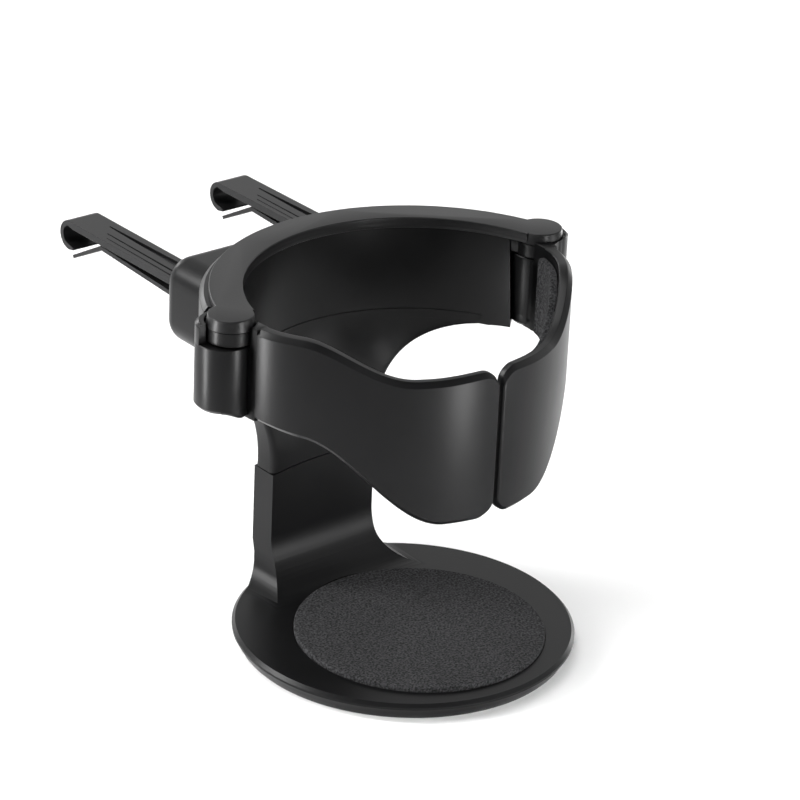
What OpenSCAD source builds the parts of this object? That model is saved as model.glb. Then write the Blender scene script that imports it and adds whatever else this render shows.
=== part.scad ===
// Car cup holder for an air vent: a C-shaped ring with two sprung clamp arms, two vent
// clips behind it and a round base on a post below it.
// The origin is the middle of the base's underside, +Z is up and the arms face -Y.

/* [Base] */
// Radius of the round base at its rim
base_r = 37.0; // [33:0.2:42]
// Thickness of the base
base_t = 4.0; // [3.6:0.1:5]
// How far the base's edge draws in towards the table
base_draw = 1.3; // [0.6:0.1:2]
// Thickness of the base's skin over its hollow underside
base_skin = 2.2; // [2:0.1:2.6]
// Width of the standing rim on the underside
base_rim = 3.4; // [2.5:0.1:5]
// Radius of the round pad
pad_r = 27.0; // [22:0.5:29]
// How far the cup's axis lies in front of the base's middle
pad_forward = 5.4; // [4:0.2:6]
// Thickness of the round pad
pad_t = 1.8; // [1.4:0.1:2.4]
// Depth of the recess that the round pad lies in
pad_sunk = 0.8; // [0.5:0.1:1.2]

/* [Post] */
// Width of the post
post_w = 28; // [24:0.5:32]
// Thickness of the post from front to back
post_t = 6.6; // [6:0.1:7.5]
// How far the post's front face lies inside the ring's inner edge
post_inset = 6.2; // [5.4:0.1:7]
// Radius of the sweep from the post's front face into the base
front_sweep_r = 12; // [8:0.5:14]
// Radius of the sweep from the post's sides into the base
side_sweep_r = 7; // [4:0.5:8]
// Height of the seam between the bracket and the ring's post
seam_z = 30.6; // [27:0.2:34]
// Rise of the seam's arch at its middle
seam_rise = 1.2; // [0.6:0.1:2]
// Open width of the seam
seam_gap = 0.25; // [0.15:0.05:0.4]
// Width of the tongue that plugs into the bracket
tongue_w = 19; // [14:0.5:20]
// Thickness of the tongue
tongue_t = 2.6; // [2.2:0.1:3]
// Length of the tongue below the seam
tongue_len = 13; // [10:0.5:16]
// Distance between the two bracket screws
bracket_screw_gap = 11; // [9:0.5:12]

/* [Ring] */
// Height of the top of the cover above the table
total_h = 83; // [80:0.5:90]
// Distance of the ring's middle in front of the base's middle
ring_forward = 2.7; // [2:0.1:3.4]
// Inner radius of the cover
ring_in_r = 38.1; // [37:0.1:40]
// Width of the cover plate
cover_w = 7.1; // [6.6:0.1:7.4]
// Thickness of the cover plate
cover_t = 1.4; // [1.2:0.1:1.8]
// Depth of the skirt inside the cover, from its top
skirt_h = 2.4; // [2:0.1:3]
// Thickness of the skirt
skirt_t = 0.8; // [0.6:0.1:1]
// How far the ring's body stands out past the cover
rim_out = 1.9; // [1.6:0.1:2.4]
// Thickness of the ring's outer wall
outer_wall = 2.2; // [2:0.1:2.6]
// Thickness of the ring's inner wall at its top
inner_wall = 2.0; // [1.8:0.1:2.2]
// How far the inner wall leans in from its top to its lower edge
wall_lean = 1.4; // [0.6:0.1:2]
// Height of the ring at its two ends
ring_h = 21.5; // [20.5:0.5:24]
// Radius of the sweep from the post up into the ring
arch_r = 28.5; // [26:0.5:30]

/* [Hinges] */
// How far the hinge axes lie outside the ring's inner edge
hinge_out = 5.117; // [5:0.001:5.3]
// Distance of the hinge axes behind the base's middle
hinge_back = 9.7; // [9:0.1:10.4]
// Outer radius of an arm's barrel
barrel_r = 5.95; // [5.8:0.05:6.1]
// How far a barrel's outside stands off its hinge axis
barrel_shift = 1.3; // [1:0.1:1.4]
// Height of a barrel's lower end above the ring's lower edge
barrel_lift = 1.1; // [0.6:0.1:2]
// Depth of the cover's round ends
cap_h = 2.5; // [2.2:0.1:3]
// Depth from the cover's top to the top of a barrel
barrel_drop = 5.6; // [5.2:0.1:6]
// Radius of the collar above a barrel
collar_r = 5.0; // [4.8:0.05:5.1]
// Radius of the spindle that a barrel turns on
spindle_r = 2.2; // [2.1:0.05:2.4]
// Radial clearance of the running fit on the spindle
run_fit = 0.06; // [0.04:0.01:0.08]
// Length of the barrel's bearing on the spindle
bearing_len = 2.6; // [2:0.1:3.5]
// Radius of the pocket that holds the spring
pocket_r = 3.75; // [3.6:0.05:3.9]
// Gap all round a barrel where it sits in the ring's end
barrel_clear = 0.4; // [0.3:0.05:0.6]
// Radius of the spring's wire
wire_r = 0.35; // [0.25:0.05:0.4]
// Number of turns in a spring
spring_turns = 5; // [4:1:6]
// Radius of a retaining washer
washer_r = 3.4; // [3.2:0.1:3.6]
// Thickness of a retaining washer
washer_t = 0.7; // [0.5:0.1:0.9]

/* [Arms] */
// Reach of the closed arms in front of the base's middle
arm_reach = 27.5; // [27:0.1:30]
// Thickness of an arm
arm_t = 3.2; // [2.9:0.1:3.5]
// How much thinner an arm is at its front
arm_taper = 0.7; // [0:0.1:0.9]
// Gap between the two closed arms
arm_gap = 0.8; // [0.6:0.1:1.4]
// Height of an arm's top edge at its hinge end, below the cover's top
arm_top_drop = 1.6; // [1.5:0.1:2.5]
// Fall of the top edge from the hinge end to the front
arm_top_fall = 8.0; // [6:0.2:10]
// Rise of the top edge again close to the front
arm_top_rise = 0.5; // [0:0.1:1]
// Depth of an arm's lower edge at the hinge end, below the cover's top
arm_low_drop = 22; // [21:0.5:24]
// Fall of the lower edge from the hinge end to the front
arm_low_fall = 20.3; // [14:0.1:24]
// Radius of an arm's front corners
arm_corner_r = 4; // [2:0.5:6]
// Width and height of the bevel round an arm's outer edge
arm_bevel = 1.1; // [0.6:0.1:1.3]
// Thickness of the sponge pad inside an arm
arm_pad_t = 1.6; // [1:0.1:2]
// Margin between a sponge pad's edge and the arm's top and front edges
arm_pad_margin = 2.0; // [1.5:0.1:3.5]
// Margin between a sponge pad and the arm's lower edge
arm_pad_low_margin = 1.0; // [0.8:0.1:2]

/* [Clip housing] */
// Width of the clip housing
housing_w = 58; // [55:0.5:61]
// Height of the clip housing
housing_h = 19.4; // [18.5:0.1:21]
// Depth from the cover's top to the top of the housing
housing_drop = 5.0; // [4.6:0.1:6]
// Distance from the ring's outer wall to the housing's back
housing_reach = 6.1; // [5.5:0.1:8]
// Radius of the housing's long edges
housing_edge_r = 4.6; // [3:0.1:5]
// Thickness of the plate that closes the housing
plate_t = 2.0; // [1.6:0.1:2.4]
// Distance between the two screws that hold the housing
housing_screw_gap = 12; // [10:0.5:14]

/* [Vent clips] */
// Distance from the housing's side to a clip's middle
clip_inset = 8.4; // [8:0.1:9]
// Width of a clip
clip_w = 8.2; // [7:0.1:8.4]
// Depth from the cover's top to the top of a clip
clip_drop = 12.1; // [11.6:0.1:12.8]
// Thickness of a clip's upper strip
strip_t = 1.6; // [1.4:0.1:2]
// Distance from the housing's back to the bend of the hook
clip_len = 40.8; // [34:0.2:46]
// Outer radius of the hook
hook_r = 3.4; // [3:0.1:3.8]
// Thickness of the hook's wall
hook_t = 1.2; // [1:0.1:1.4]
// Thickness of the lower leaf
leaf_t = 1.0; // [0.8:0.1:1.1]
// Distance from the hook's bend to the lower leaf's crease
crease_back = 12; // [10:0.5:14]
// Fall of the lower leaf's tongue from the crease to its end
tongue_fall = 5.6; // [5:0.2:7]

/* [Hidden] */

$fn = 96;
eps = 0.01;
plastic = [0.16, 0.16, 0.17];
sponge = [0.22, 0.22, 0.23];
steel = [0.7, 0.7, 0.72];

// Places shared by the ring, the cover and the hinges
cover_out_r = ring_in_r + cover_w;
ring_out_r = cover_out_r + rim_out;
cover_z = total_h - cover_t;
ring_low_z = total_h - ring_h;
wall_in_r = ring_in_r + skirt_t;
hinge_r = ring_in_r + hinge_out;
hinge_x = sqrt(pow(hinge_r, 2) - pow(hinge_back + ring_forward, 2));
housing_back = ring_out_r - ring_forward + housing_reach;
hook_y = housing_back + clip_len;
room_x = ring_out_r + 12;
hinge_angle = atan2(hinge_back + ring_forward, hinge_x);
cavity_floor_z = ring_low_z + 3;

// Heights of the barrel and of what is inside it
barrel_top = total_h - barrel_drop;
barrel_low = ring_low_z + barrel_lift;
barrel_gap = 0.3;
barrel_turn = 40;
barrel_out = 40;
bearing_low = barrel_low + 2.4;
pocket_floor = bearing_low + bearing_len;
end_play = 0.1;
washer_top = bearing_low - end_play;
screw_head_r = 2.5;
screw_head_h = 1.1;
pilot_r = 1.28;
shank_r = 1.25;
shank_len = 8;
cap_r = collar_r + 0.15;
cap_low = total_h - cap_h;
shell_in_r = cap_r + 0.3;
shell_top = cover_z - 0.15;
left_shell = [12, 79];
right_shell = [-66, 8];
skirt_drop = 1.5;
web_r = hinge_r - 1.5;

// Places shared by the post, its tongue and the bracket
post_front = ring_in_r - ring_forward - post_inset;
post_back = post_front + post_t;
post_x = post_w / 2;
tongue_y = post_front + (post_t - tongue_t) / 2;
tongue_clear = 0.2;
sink_clear = 0.2;
bracket_screw_z = seam_z - tongue_len / 2;

// A ring sector between two radii and two heights, about the Z axis
module sector(r1, r2, z1, z2, from, to) {
    rotate([0, 0, from])
        rotate_extrude(angle = to - from)
            polygon([[r1, z1], [r2, z1], [r2, z2], [r1, z2]]);
}

// Points of an arc, for outlines
function arc(cx, cy, r, from, to, steps) =
    [for (i = [0:steps]) [cx + r * cos(from + (to - from) * i / steps),
                          cy + r * sin(from + (to - from) * i / steps)]];

// Outline of a rectangle with round corners
function round_rect(x1, y1, x2, y2, r) = concat(
    arc(x2 - r, y2 - r, r, 0, 90, 8), arc(x1 + r, y2 - r, r, 90, 180, 8),
    arc(x1 + r, y1 + r, r, 180, 270, 8), arc(x2 - r, y1 + r, r, 270, 360, 8));

// An XZ outline pushed along Y between two places
module along_y(y1, y2) {
    translate([0, y2, 0])
        rotate([90, 0, 0])
            linear_extrude(y2 - y1)
                children();
}

// A YZ outline pushed along X between two places
module along_x(x1, x2) {
    translate([x1, 0, 0])
        rotate([90, 0, 90])
            linear_extrude(x2 - x1)
                children();
}

// One side of the holder is the mirror image of the other: -1 is left, 1 is right
module on_side(side) {
    if (side < 0) mirror([1, 0, 0]) children();
    else children();
}

module at_hinge() {
    translate([hinge_x, hinge_back, 0]) children();
}

// Front outline of the ring and its post: level ends and a wide sweep down to the post
module front_outline() {
    arch_x = post_x + arch_r;
    arch_z = ring_low_z - arch_r;
    right = arc(arch_x, arch_z, arch_r, 180, 90, 28);
    left = [for (i = [len(right) - 1:-1:0]) [-right[i][0], right[i][1]]];
    polygon(concat([[-post_x, seam_z]], [[post_x, seam_z]], right,
        [[room_x, ring_low_z], [room_x, total_h], [-room_x, total_h], [-room_x, ring_low_z]], left));
}

// Side outline of the ring and its post: a thin post that swells back into the ring
module side_outline(front) {
    back_r = 16;
    lean_r = 24;
    lean_z = seam_z + lean_r / 2;
    lean_end = 136;
    top_front = front + post_inset + inner_wall / 5;
    swell_z = ring_low_z - back_r + 1;
    front_line = front < 0 ? [[front, total_h], [front, seam_z]]
        : concat([[top_front, total_h], [top_front, ring_low_z + 6]],
                 arc(front + lean_r, lean_z, lean_r, lean_end, 180, 10),
                 [[front, seam_z]]);
    polygon(concat(front_line, [[post_back, seam_z]],
        arc(post_back + back_r, swell_z, back_r, 180, 90, 16),
        [[post_back + back_r + 5, swell_z + back_r], [post_back + back_r + 5, total_h]]));
}

// The arch-shaped seam: the space below it, with its top raised or lowered
module below_seam(shift) {
    seam_r = (post_x * post_x + seam_rise * seam_rise) / (2 * seam_rise);
    half = asin((post_x + 3) / seam_r);
    along_y(post_front - post_w, post_back + post_w)
        polygon(concat(arc(0, seam_z + shift + seam_rise - seam_r, seam_r, 90 - half, 90 + half, 20),
            [[-post_x - 30, seam_z - 1], [-post_x - 30, -1], [post_x + 30, -1], [post_x + 30, seam_z - 1]]));
}

// Ring body: hollow C with a leaning inner wall, hinge collars, spindles and the upper post
module ring_wall() {
    lean_r = wall_in_r - wall_lean;
    rotate([0, 0, hinge_angle])
        rotate_extrude(angle = 180 - 2 * hinge_angle)
            polygon([[lean_r - 1.2, seam_z], [lean_r, ring_low_z], [wall_in_r, total_h - skirt_h],
                [wall_in_r, cover_z], [ring_out_r - 0.9, cover_z], [ring_out_r, cover_z - 0.9],
                [ring_out_r, ring_low_z + 0.8], [ring_out_r - 0.8, ring_low_z], [ring_out_r - 0.8, seam_z]]);
}

module ring_cavity() {
    sector(wall_in_r + inner_wall, ring_out_r - outer_wall, cavity_floor_z, cover_z + 1,
        hinge_angle - 1, 181 - hinge_angle);
}

module spindle() {
    seat = cap_low - 0.05;
    at_hinge() difference() {
        union() {
            translate([0, 0, washer_top]) cylinder(r = spindle_r, h = barrel_top - washer_top + 1);
            translate([0, 0, barrel_top]) cylinder(r1 = collar_r, r2 = collar_r - 0.15, h = seat - barrel_top);
        }
        translate([0, 0, washer_top - 1]) cylinder(r = pilot_r, h = shank_len + 2);
    }
}

module hinge_web() {
    web_low = barrel_top + 0.2;
    set_in = 0.15;
    difference() {
        translate([0, -ring_forward, 0])
            sector(wall_in_r + set_in, web_r, web_low, cover_z, hinge_angle - 1, hinge_angle + 12);
        at_hinge() translate([0, 0, cap_low - 0.05]) cylinder(r = cap_r + 0.1, h = cap_h);
    }
}

// Room that a barrel sweeps as its arm opens by up to 40 degrees
module barrel_room() {
    at_hinge()
        translate([0, 0, seam_z])
            cylinder(r = hinge_out + wall_lean + barrel_clear, h = total_h);
    for (turn = [0, barrel_turn / 2, barrel_turn])
        at_hinge()
            rotate([0, 0, barrel_out + turn - 2])
                translate([barrel_shift, 0, seam_z])
                    cylinder(r = barrel_r + barrel_clear, h = total_h);
}

module screw_bosses() {
    for (s = [-1, 1])
        translate([s * housing_screw_gap / 2, 0, screw_z])
            rotate([-90, 0, 0])
                cylinder(r = 2.6, h = ring_out_r - ring_forward - 0.6);
}

module ring_body() {
    color(plastic) {
        difference() {
            union() {
                intersection() {
                    difference() {
                        translate([0, -ring_forward, 0]) ring_wall();
                        translate([0, -ring_forward, 0]) ring_cavity();
                        for (side = [-1, 1])
                            on_side(side) barrel_room();
                    }
                    along_y(-hinge_back, housing_back) front_outline();
                    along_x(-room_x, room_x) side_outline(-hinge_back);
                }
                intersection() {
                    along_y(0, housing_back) front_outline();
                    along_x(-room_x, room_x) side_outline(post_front);
                    translate([0, -ring_forward, 0]) cylinder(r = ring_in_r + 1, h = cavity_floor_z);
                }
                intersection() {
                    screw_bosses();
                    translate([0, -ring_forward, 0])
                        sector(wall_in_r + inner_wall - 0.3, ring_out_r - outer_wall + 0.3, 0, total_h, 60, 120);
                }
            }
            below_seam(seam_gap);
            screw_holes();
        }
        translate([-tongue_w / 2, tongue_y, seam_z - tongue_len])
            difference() {
                cube([tongue_w, tongue_t, tongue_len + 3]);
                for (s = [-1, 1])
                    translate([tongue_w / 2 + s * bracket_screw_gap / 2, -1, bracket_screw_z - seam_z + tongue_len])
                        rotate([-90, 0, 0])
                            cylinder(r = pilot_r, h = tongue_t + 2);
            }
        for (side = [-1, 1])
            on_side(side) {
                hinge_web();
                spindle();
            }
    }
}

// Cover: flat C with deeper round ends over the hinges and a short skirt inside
module top_cover() {
    clear = 0.1;
    color([0.24, 0.24, 0.25]) {
        difference() {
            union() {
                translate([0, -ring_forward, 0])
                    sector(ring_in_r, cover_out_r, cover_z, total_h, hinge_angle, 180 - hinge_angle);
                translate([0, -ring_forward, 0])
                    sector(ring_in_r, wall_in_r - 0.05, total_h - skirt_h, cover_z + eps,
                        hinge_angle, 180 - hinge_angle);
            }
            for (side = [-1, 1])
                on_side(side) at_hinge()
                    cylinder(r = collar_r + clear, h = cap_low);
        }
        for (side = [-1, 1])
            on_side(side) at_hinge()
                translate([0, 0, cap_low])
                    cylinder(r1 = cap_r, r2 = cap_r - 0.1, h = cap_h);
    }
}

// Path of an arm's outer face, from its hinge end to its front, seen from above
hinge_end = [hinge_x - 1.25, hinge_back - barrel_r - 0.65];
front_end = [arm_gap / 2, -arm_reach];
hinge_pull = [hinge_end[0] - 0.75, hinge_end[1] - 12.1];
front_pull = [front_end[0] + 17.8, -arm_reach];

function bezier(t) =
    hinge_end * pow(1 - t, 3) + hinge_pull * (3 * t * pow(1 - t, 2))
    + front_pull * (3 * t * t * (1 - t)) + front_end * pow(t, 3);
function slope(t) =
    (hinge_pull - hinge_end) * (3 * pow(1 - t, 2)) + (front_pull - hinge_pull) * (6 * t * (1 - t))
    + (front_end - front_pull) * (3 * t * t);
function unit(v) = v / norm(v);
early_fall = 1.6;
path_len = 52;
function inward(t) = let (d = unit(slope(t))) [d[1], -d[0]];
root_r = 1.75;
root = bezier(0) + inward(0) * (root_r + 0.12);

// Share of a fall that is done at t: none before from, all of it after to
function eased(t, from, to) =
    let (u = min(1, max(0, (t - from) / (to - from)))) (1 - cos(180 * u)) / 2;

// How far the rounded front corner cuts into an edge, a distance d from the front
function corner_cut(d, r) = d >= r ? 0 : r - sqrt(r * r - (r - d) * (r - d));

function arm_top(t) = total_h - arm_top_drop - arm_top_fall * eased(t, 0.24, 0.68)
    + arm_top_rise * eased(t, 0.72, 0.95);
function arm_low(t) = total_h - arm_low_drop - early_fall * eased(t, 0, 0.35)
    - (arm_low_fall - early_fall) * eased(t, 0.26, 0.8);
function arm_thick(t) = arm_t - arm_taper * t;
function front_run(t) = bezier(t)[0] - front_end[0];

// Stations along the path: even ones, then closer ones round the front corner
function stations(steps, corner, r) = concat(
    [for (i = [0:steps]) i / steps * (1 - r / path_len)],
    [for (i = [1:corner]) 1 - r * (1 - sin(90 * i / corner)) / path_len]);

// One cross-section of an arm or its pad: offsets inward of the path, with bevelled edges
function section(t, near, far, top, low, b1, b2) =
    let (p = bezier(t), n = inward(t),
         rim = [[near, low + b1], [near, top - b1], [near + b1, top], [far - b2, top],
                [far, top - b2], [far, low + b2], [far - b2, low], [near + b1, low]])
    [for (q = rim) [p[0] + n[0] * q[0], p[1] + n[1] * q[0], q[1]]];

// A closed solid through sections that all have the same number of points
module loft(rings) {
    n = len(rings);
    m = len(rings[0]);
    points = [for (ring = rings) for (p = ring) p];
    sides = [for (i = [0:n - 2]) for (j = [0:m - 1])
        let (k = (j + 1) % m)
        each [[i * m + j, (i + 1) * m + k, i * m + k], [i * m + j, (i + 1) * m + j, (i + 1) * m + k]]];
    ends = [[for (j = [0:m - 1]) j], [for (j = [m - 1:-1:0]) (n - 1) * m + j]];
    polyhedron(points, concat(sides, ends));
}

module arm_leaf() {
    r = arm_corner_r;
    list = stations(22, 7, r);
    loft([for (t = list)
        let (cut = corner_cut(front_run(t), r), end = corner_cut(front_run(t), 0.7))
        section(t, end, arm_thick(t) - end / 2, arm_top(t) - cut, arm_low(t) + cut, arm_bevel, 0.5)]);
}

module arm_root() {
    bevel = 0.7;
    translate([root[0], root[1], arm_low(0)])
        cylinder(r1 = root_r - bevel, r2 = root_r, h = bevel);
    translate([root[0], root[1], arm_low(0) + bevel])
        cylinder(r = root_r, h = arm_top(0) - arm_low(0) - 2 * bevel);
    translate([root[0], root[1], arm_top(0) - bevel])
        cylinder(r1 = root_r, r2 = root_r - bevel, h = bevel);
    web = unit([hinge_x, hinge_back] - root);
    span = norm([hinge_x, hinge_back] - root);
    web_t = 3.2;
    web_side = -0.4;
    web_top = barrel_top - 0.6;
    lip = span - washer_r - 0.5;
    translate([root[0], root[1], 0])
        rotate([0, 0, atan2(web[1], web[0])]) {
            translate([0, web_side, barrel_low + 0.6]) cube([span, web_t, web_top - barrel_low - 0.6]);
            translate([0, web_side, barrel_low - skirt_drop]) cube([lip, web_t, skirt_drop + 1]);
        }
}

// Barrel with the thin wall behind its collar and a short skirt on its inner side
module arm_barrel(shell) {
    bevel = 0.9;
    top = barrel_top - barrel_gap;
    at_hinge() rotate([0, 0, barrel_out]) translate([barrel_shift, 0, 0]) {
        translate([0, 0, barrel_low]) cylinder(r1 = barrel_r - bevel, r2 = barrel_r, h = bevel);
        translate([0, 0, barrel_low + bevel]) cylinder(r = barrel_r, h = top - barrel_low - bevel);
    }
    at_hinge() intersection() {
        rotate([0, 0, barrel_out]) translate([barrel_shift, 0, 0]) cylinder(r = barrel_r, h = total_h);
        union() {
            sector(shell_in_r, 2 * barrel_r, top - 0.2, shell_top, shell[0], shell[1]);
            sector(washer_r + 0.1, 2 * barrel_r, barrel_low - skirt_drop, barrel_low + 1, 130, 262);
        }
    }
}

// The right arm's leaf also fills the corner between its root and the thin wall
module root_fill() {
    low = barrel_top - barrel_gap - 0.2;
    tip = barrel_r - 0.25;
    difference() {
        translate([0, 0, low])
            linear_extrude(arm_top(0) - 0.1 - low)
                polygon([root, bezier(0) + inward(0) * 0.4, bezier(0) + [1.2, 0.9],
                    [hinge_x + tip * cos(50), hinge_back - tip * sin(50)], [hinge_x, hinge_back]]);
        at_hinge() cylinder(r = shell_in_r, h = total_h);
    }
}

module arm_bore() {
    at_hinge() {
        translate([0, 0, barrel_low - 3]) cylinder(r = washer_r + 0.25, h = bearing_low - barrel_low + 3);
        translate([0, 0, barrel_low]) cylinder(r = spindle_r + run_fit, h = barrel_top);
        translate([0, 0, pocket_floor]) cylinder(r = pocket_r, h = barrel_top);
    }
}

module arm(side) {
    color(plastic)
        on_side(side)
            difference() {
                union() {
                    arm_leaf();
                    arm_root();
                    arm_barrel(side < 0 ? left_shell : right_shell);
                    if (side > 0) root_fill();
                }
                arm_bore();
            }
}
module left_arm() { arm(-1); }
module right_arm() { arm(1); }

// Sponge pads: they follow the arm's inner face, a margin inside its edges
module arm_pad(side) {
    seat = 0.15;
    margin = arm_pad_margin;
    first = 0.03;
    last = 1 - (margin + 1) / path_len;
    steps = 26;
    color(sponge)
        on_side(side)
            loft([for (i = [0:steps])
                let (t = first + (last - first) * i / steps,
                     cut = corner_cut(front_run(t) - margin, arm_corner_r))
                section(t, arm_thick(t) + seat, arm_thick(t) + seat + arm_pad_t,
                    arm_top(t) - margin - cut, arm_low(t) + arm_pad_low_margin + cut, 0.1, 0.5)]);
}
module left_arm_pad() { arm_pad(-1); }
module right_arm_pad() { arm_pad(1); }

// Torsion springs: a round wire wound round the spindle inside the barrel's pocket
function wire_ring(a, r, z, pitch, sides) =
    let (lead = atan(pitch / (2 * PI * r)))
    [for (k = [0:sides - 1])
        let (u = wire_r * cos(360 * k / sides), v = wire_r * sin(360 * k / sides))
        [(r + u) * cos(a) + v * sin(lead) * sin(a), (r + u) * sin(a) - v * sin(lead) * cos(a),
         z + v * cos(lead)]];

module arm_spring(side) {
    coil_r = (spindle_r + pocket_r) / 2;
    low = pocket_floor + wire_r + 0.2;
    high = barrel_top - wire_r - 0.2;
    pitch = (high - low) / spring_turns;
    steps = 18;
    color(steel)
        on_side(side) at_hinge()
            loft([for (i = [spring_turns * steps:-1:0])
                wire_ring(360 * i / steps, coil_r, low + pitch * i / steps, pitch, 6)]);
}
module left_arm_spring() { arm_spring(-1); }
module right_arm_spring() { arm_spring(1); }

module hinge_washer(side) {
    color(steel)
        on_side(side) at_hinge()
            translate([0, 0, washer_top - washer_t])
                difference() {
                    cylinder(r = washer_r, h = washer_t);
                    translate([0, 0, -1]) cylinder(r = shank_r + 0.15, h = washer_t + 2);
                }
}
module left_hinge_washer() { hinge_washer(-1); }
module right_hinge_washer() { hinge_washer(1); }

// A pan-head screw that points up +Z, with its head's seat at z = 0 and a cross recess
module screw(head_r, head_h, shank) {
    slot = head_r * 1.1;
    slot_w = head_r / 5;
    difference() {
        union() {
            translate([0, 0, -head_h]) cylinder(r1 = head_r * 0.75, r2 = head_r, h = head_h);
            translate([0, 0, -eps]) cylinder(r = shank_r, h = shank);
        }
        for (a = [0, 90])
            rotate([0, 0, a])
                translate([-slot / 2, -slot_w / 2, -1.5 * head_h])
                    cube([slot, slot_w, head_h]);
    }
}

module hinge_screw(side) {
    color(steel)
        on_side(side) at_hinge()
            translate([0, 0, washer_top - washer_t])
                screw(screw_head_r, screw_head_h, washer_t + shank_len - 1);
}
module left_hinge_screw() { hinge_screw(-1); }
module right_hinge_screw() { hinge_screw(1); }

// Clip housing: a rounded block on the ring's back, with a pocket for each clip's root
housing_top = total_h - housing_drop;
housing_low = housing_top - housing_h;
housing_x = housing_w / 2;
screw_z = (housing_top + housing_low) / 2;
plate_edge = 2.6;
root_w = clip_w + 2.4;
root_h = 7.6;
root_len = 4.6;
plate_front = housing_back - plate_t - 0.3;
clip_x = housing_x - clip_inset;
clip_top = total_h - clip_drop;
root_low = clip_top + 0.9 - root_h;
screw_seat = plate_front - screw_head_h - 0.3;

module screw_holes() {
    for (s = [-1, 1])
        translate([s * housing_screw_gap / 2, screw_seat - shank_len, screw_z])
            rotate([-90, 0, 0])
                cylinder(r = pilot_r, h = shank_len + housing_reach);
}

module clip_housing() {
    depth = housing_reach + 18;
    color(plastic)
        difference() {
            intersection() {
                along_y(housing_back - depth, housing_back)
                    polygon(round_rect(-housing_x, housing_low, housing_x, housing_top, housing_edge_r));
                linear_extrude(total_h)
                    polygon(round_rect(-housing_x, 0, housing_x, housing_back, housing_edge_r));
                along_x(-housing_x, housing_x)
                    polygon(round_rect(0, housing_low, housing_back, housing_top, housing_edge_r));
            }
            translate([0, -ring_forward, 0]) cylinder(r = ring_out_r + 0.05, h = total_h);
            along_y(plate_front, housing_back + 1)
                polygon(plate_outline(0));
            for (s = [-1, 1]) {
                translate([s * clip_x - root_w / 2 - 0.1, plate_front - root_len - 0.1, root_low - 0.1])
                    cube([root_w + 0.2, root_len + 1, root_h + 0.2]);
                translate([s * housing_screw_gap / 2, 0, screw_z])
                    rotate([-90, 0, 0]) {
                        cylinder(r = shank_r + 0.15, h = housing_back);
                        translate([0, 0, screw_seat]) cylinder(r = screw_head_r + 0.4, h = housing_reach);
                    }
            }
        }
}

function plate_outline(inset) =
    round_rect(-housing_x + plate_edge + inset, housing_low + plate_edge + inset,
        housing_x - plate_edge - inset, housing_top - plate_edge - inset, housing_edge_r - 2);

module housing_plate() {
    color(plastic)
        difference() {
            along_y(plate_front, plate_front + plate_t) polygon(plate_outline(0.1));
            for (s = [-1, 1])
                translate([s * clip_x - clip_w / 2 - 0.1, plate_front - 1, leaf_root_low - 0.1])
                    cube([clip_w + 0.2, plate_t + 2, clip_top - leaf_root_low + 0.2]);
        }
}

module housing_screws() {
    color(steel)
        for (s = [-1, 1])
            translate([s * housing_screw_gap / 2, screw_seat, screw_z])
                rotate([90, 0, 0])
                    screw(screw_head_r, screw_head_h, shank_len - 1);
}

// Vent clips: a ribbed strip that curls into a hook, over a thinner leaf with a tongue
crease_y = hook_y - crease_back;
leaf_drop = 3.0;
leaf_root_low = clip_top - strip_t - leaf_drop;
leaf_crease_low = clip_top - strip_t - leaf_t - 0.3;
hook_z = clip_top - hook_r;

// Side view of the strip and the hook
module hook_outline() {
    tip = 1.7;
    polygon(concat(
        [[plate_front - 1, clip_top - strip_t], [plate_front - 1, clip_top]],
        arc(hook_y, hook_z, hook_r, 90, -90, 18),
        [[hook_y - tip, hook_z - hook_r + 0.35], [hook_y - tip, hook_z - hook_r + 0.75]],
        arc(hook_y, hook_z, hook_r - hook_t, -90, 90 - 12, 14),
        [[hook_y - 1.5, clip_top - strip_t]]));
}

// Side view of the leaf below it: a shallow ramp up to a crease, then the tongue
module leaf_outline() {
    tongue_end = hook_y - 1.4;
    low = leaf_crease_low - tongue_fall;
    polygon([[plate_front - 1, leaf_root_low], [crease_y, leaf_crease_low], [tongue_end, low],
        [tongue_end + 0.35, low + 0.7], [crease_y + 0.4, leaf_crease_low + leaf_t],
        [plate_front - 1, leaf_root_low + leaf_t]]);
}

// The grooves on a strip are narrow near the hook and wide at the housing
module strip_grooves() {
    near = housing_back - 4;
    far = hook_y - 7.5;
    depth = 0.9;
    translate([0, 0, clip_top - depth])
        linear_extrude(depth + 1)
            polygon([[0.4, near], [2.9, near], [1.9, far], [1.5, far]]);
    translate([0, 0, clip_top - depth / 2])
        linear_extrude(depth) {
            polygon([[-1.7, near], [-1.1, near], [-0.9, far - 3], [-1.2, far - 3]]);
            polygon([[-3.3, near], [-2.9, near], [-2.6, far - 5], [-2.8, far - 5]]);
        }
}

module vent_clip(side) {
    color([0.28, 0.28, 0.29])
        translate([side * clip_x, 0, 0]) {
            difference() {
                union() {
                    along_x(-clip_w / 2, clip_w / 2) hook_outline();
                    along_x(-clip_w / 2 + 0.3, clip_w / 2 - 0.3) leaf_outline();
                }
                strip_grooves();
            }
            translate([-root_w / 2, plate_front - root_len, root_low])
                cube([root_w, root_len, root_h]);
        }
}
module left_vent_clip() { vent_clip(-1); }
module right_vent_clip() { vent_clip(1); }

// Base bracket: the lower post sweeps forward and sideways into a round base
module post_front_view() {
    low = base_t;
    right = arc(post_x + side_sweep_r, low + side_sweep_r, side_sweep_r, 270, 180, 12);
    left = [for (i = [len(right) - 1:-1:0]) [-right[i][0], right[i][1]]];
    polygon(concat([[-post_x - side_sweep_r, base_t / 2], [post_x + side_sweep_r, base_t / 2]], right,
        [[post_x, seam_z + 5], [-post_x, seam_z + 5]], left));
}

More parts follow.
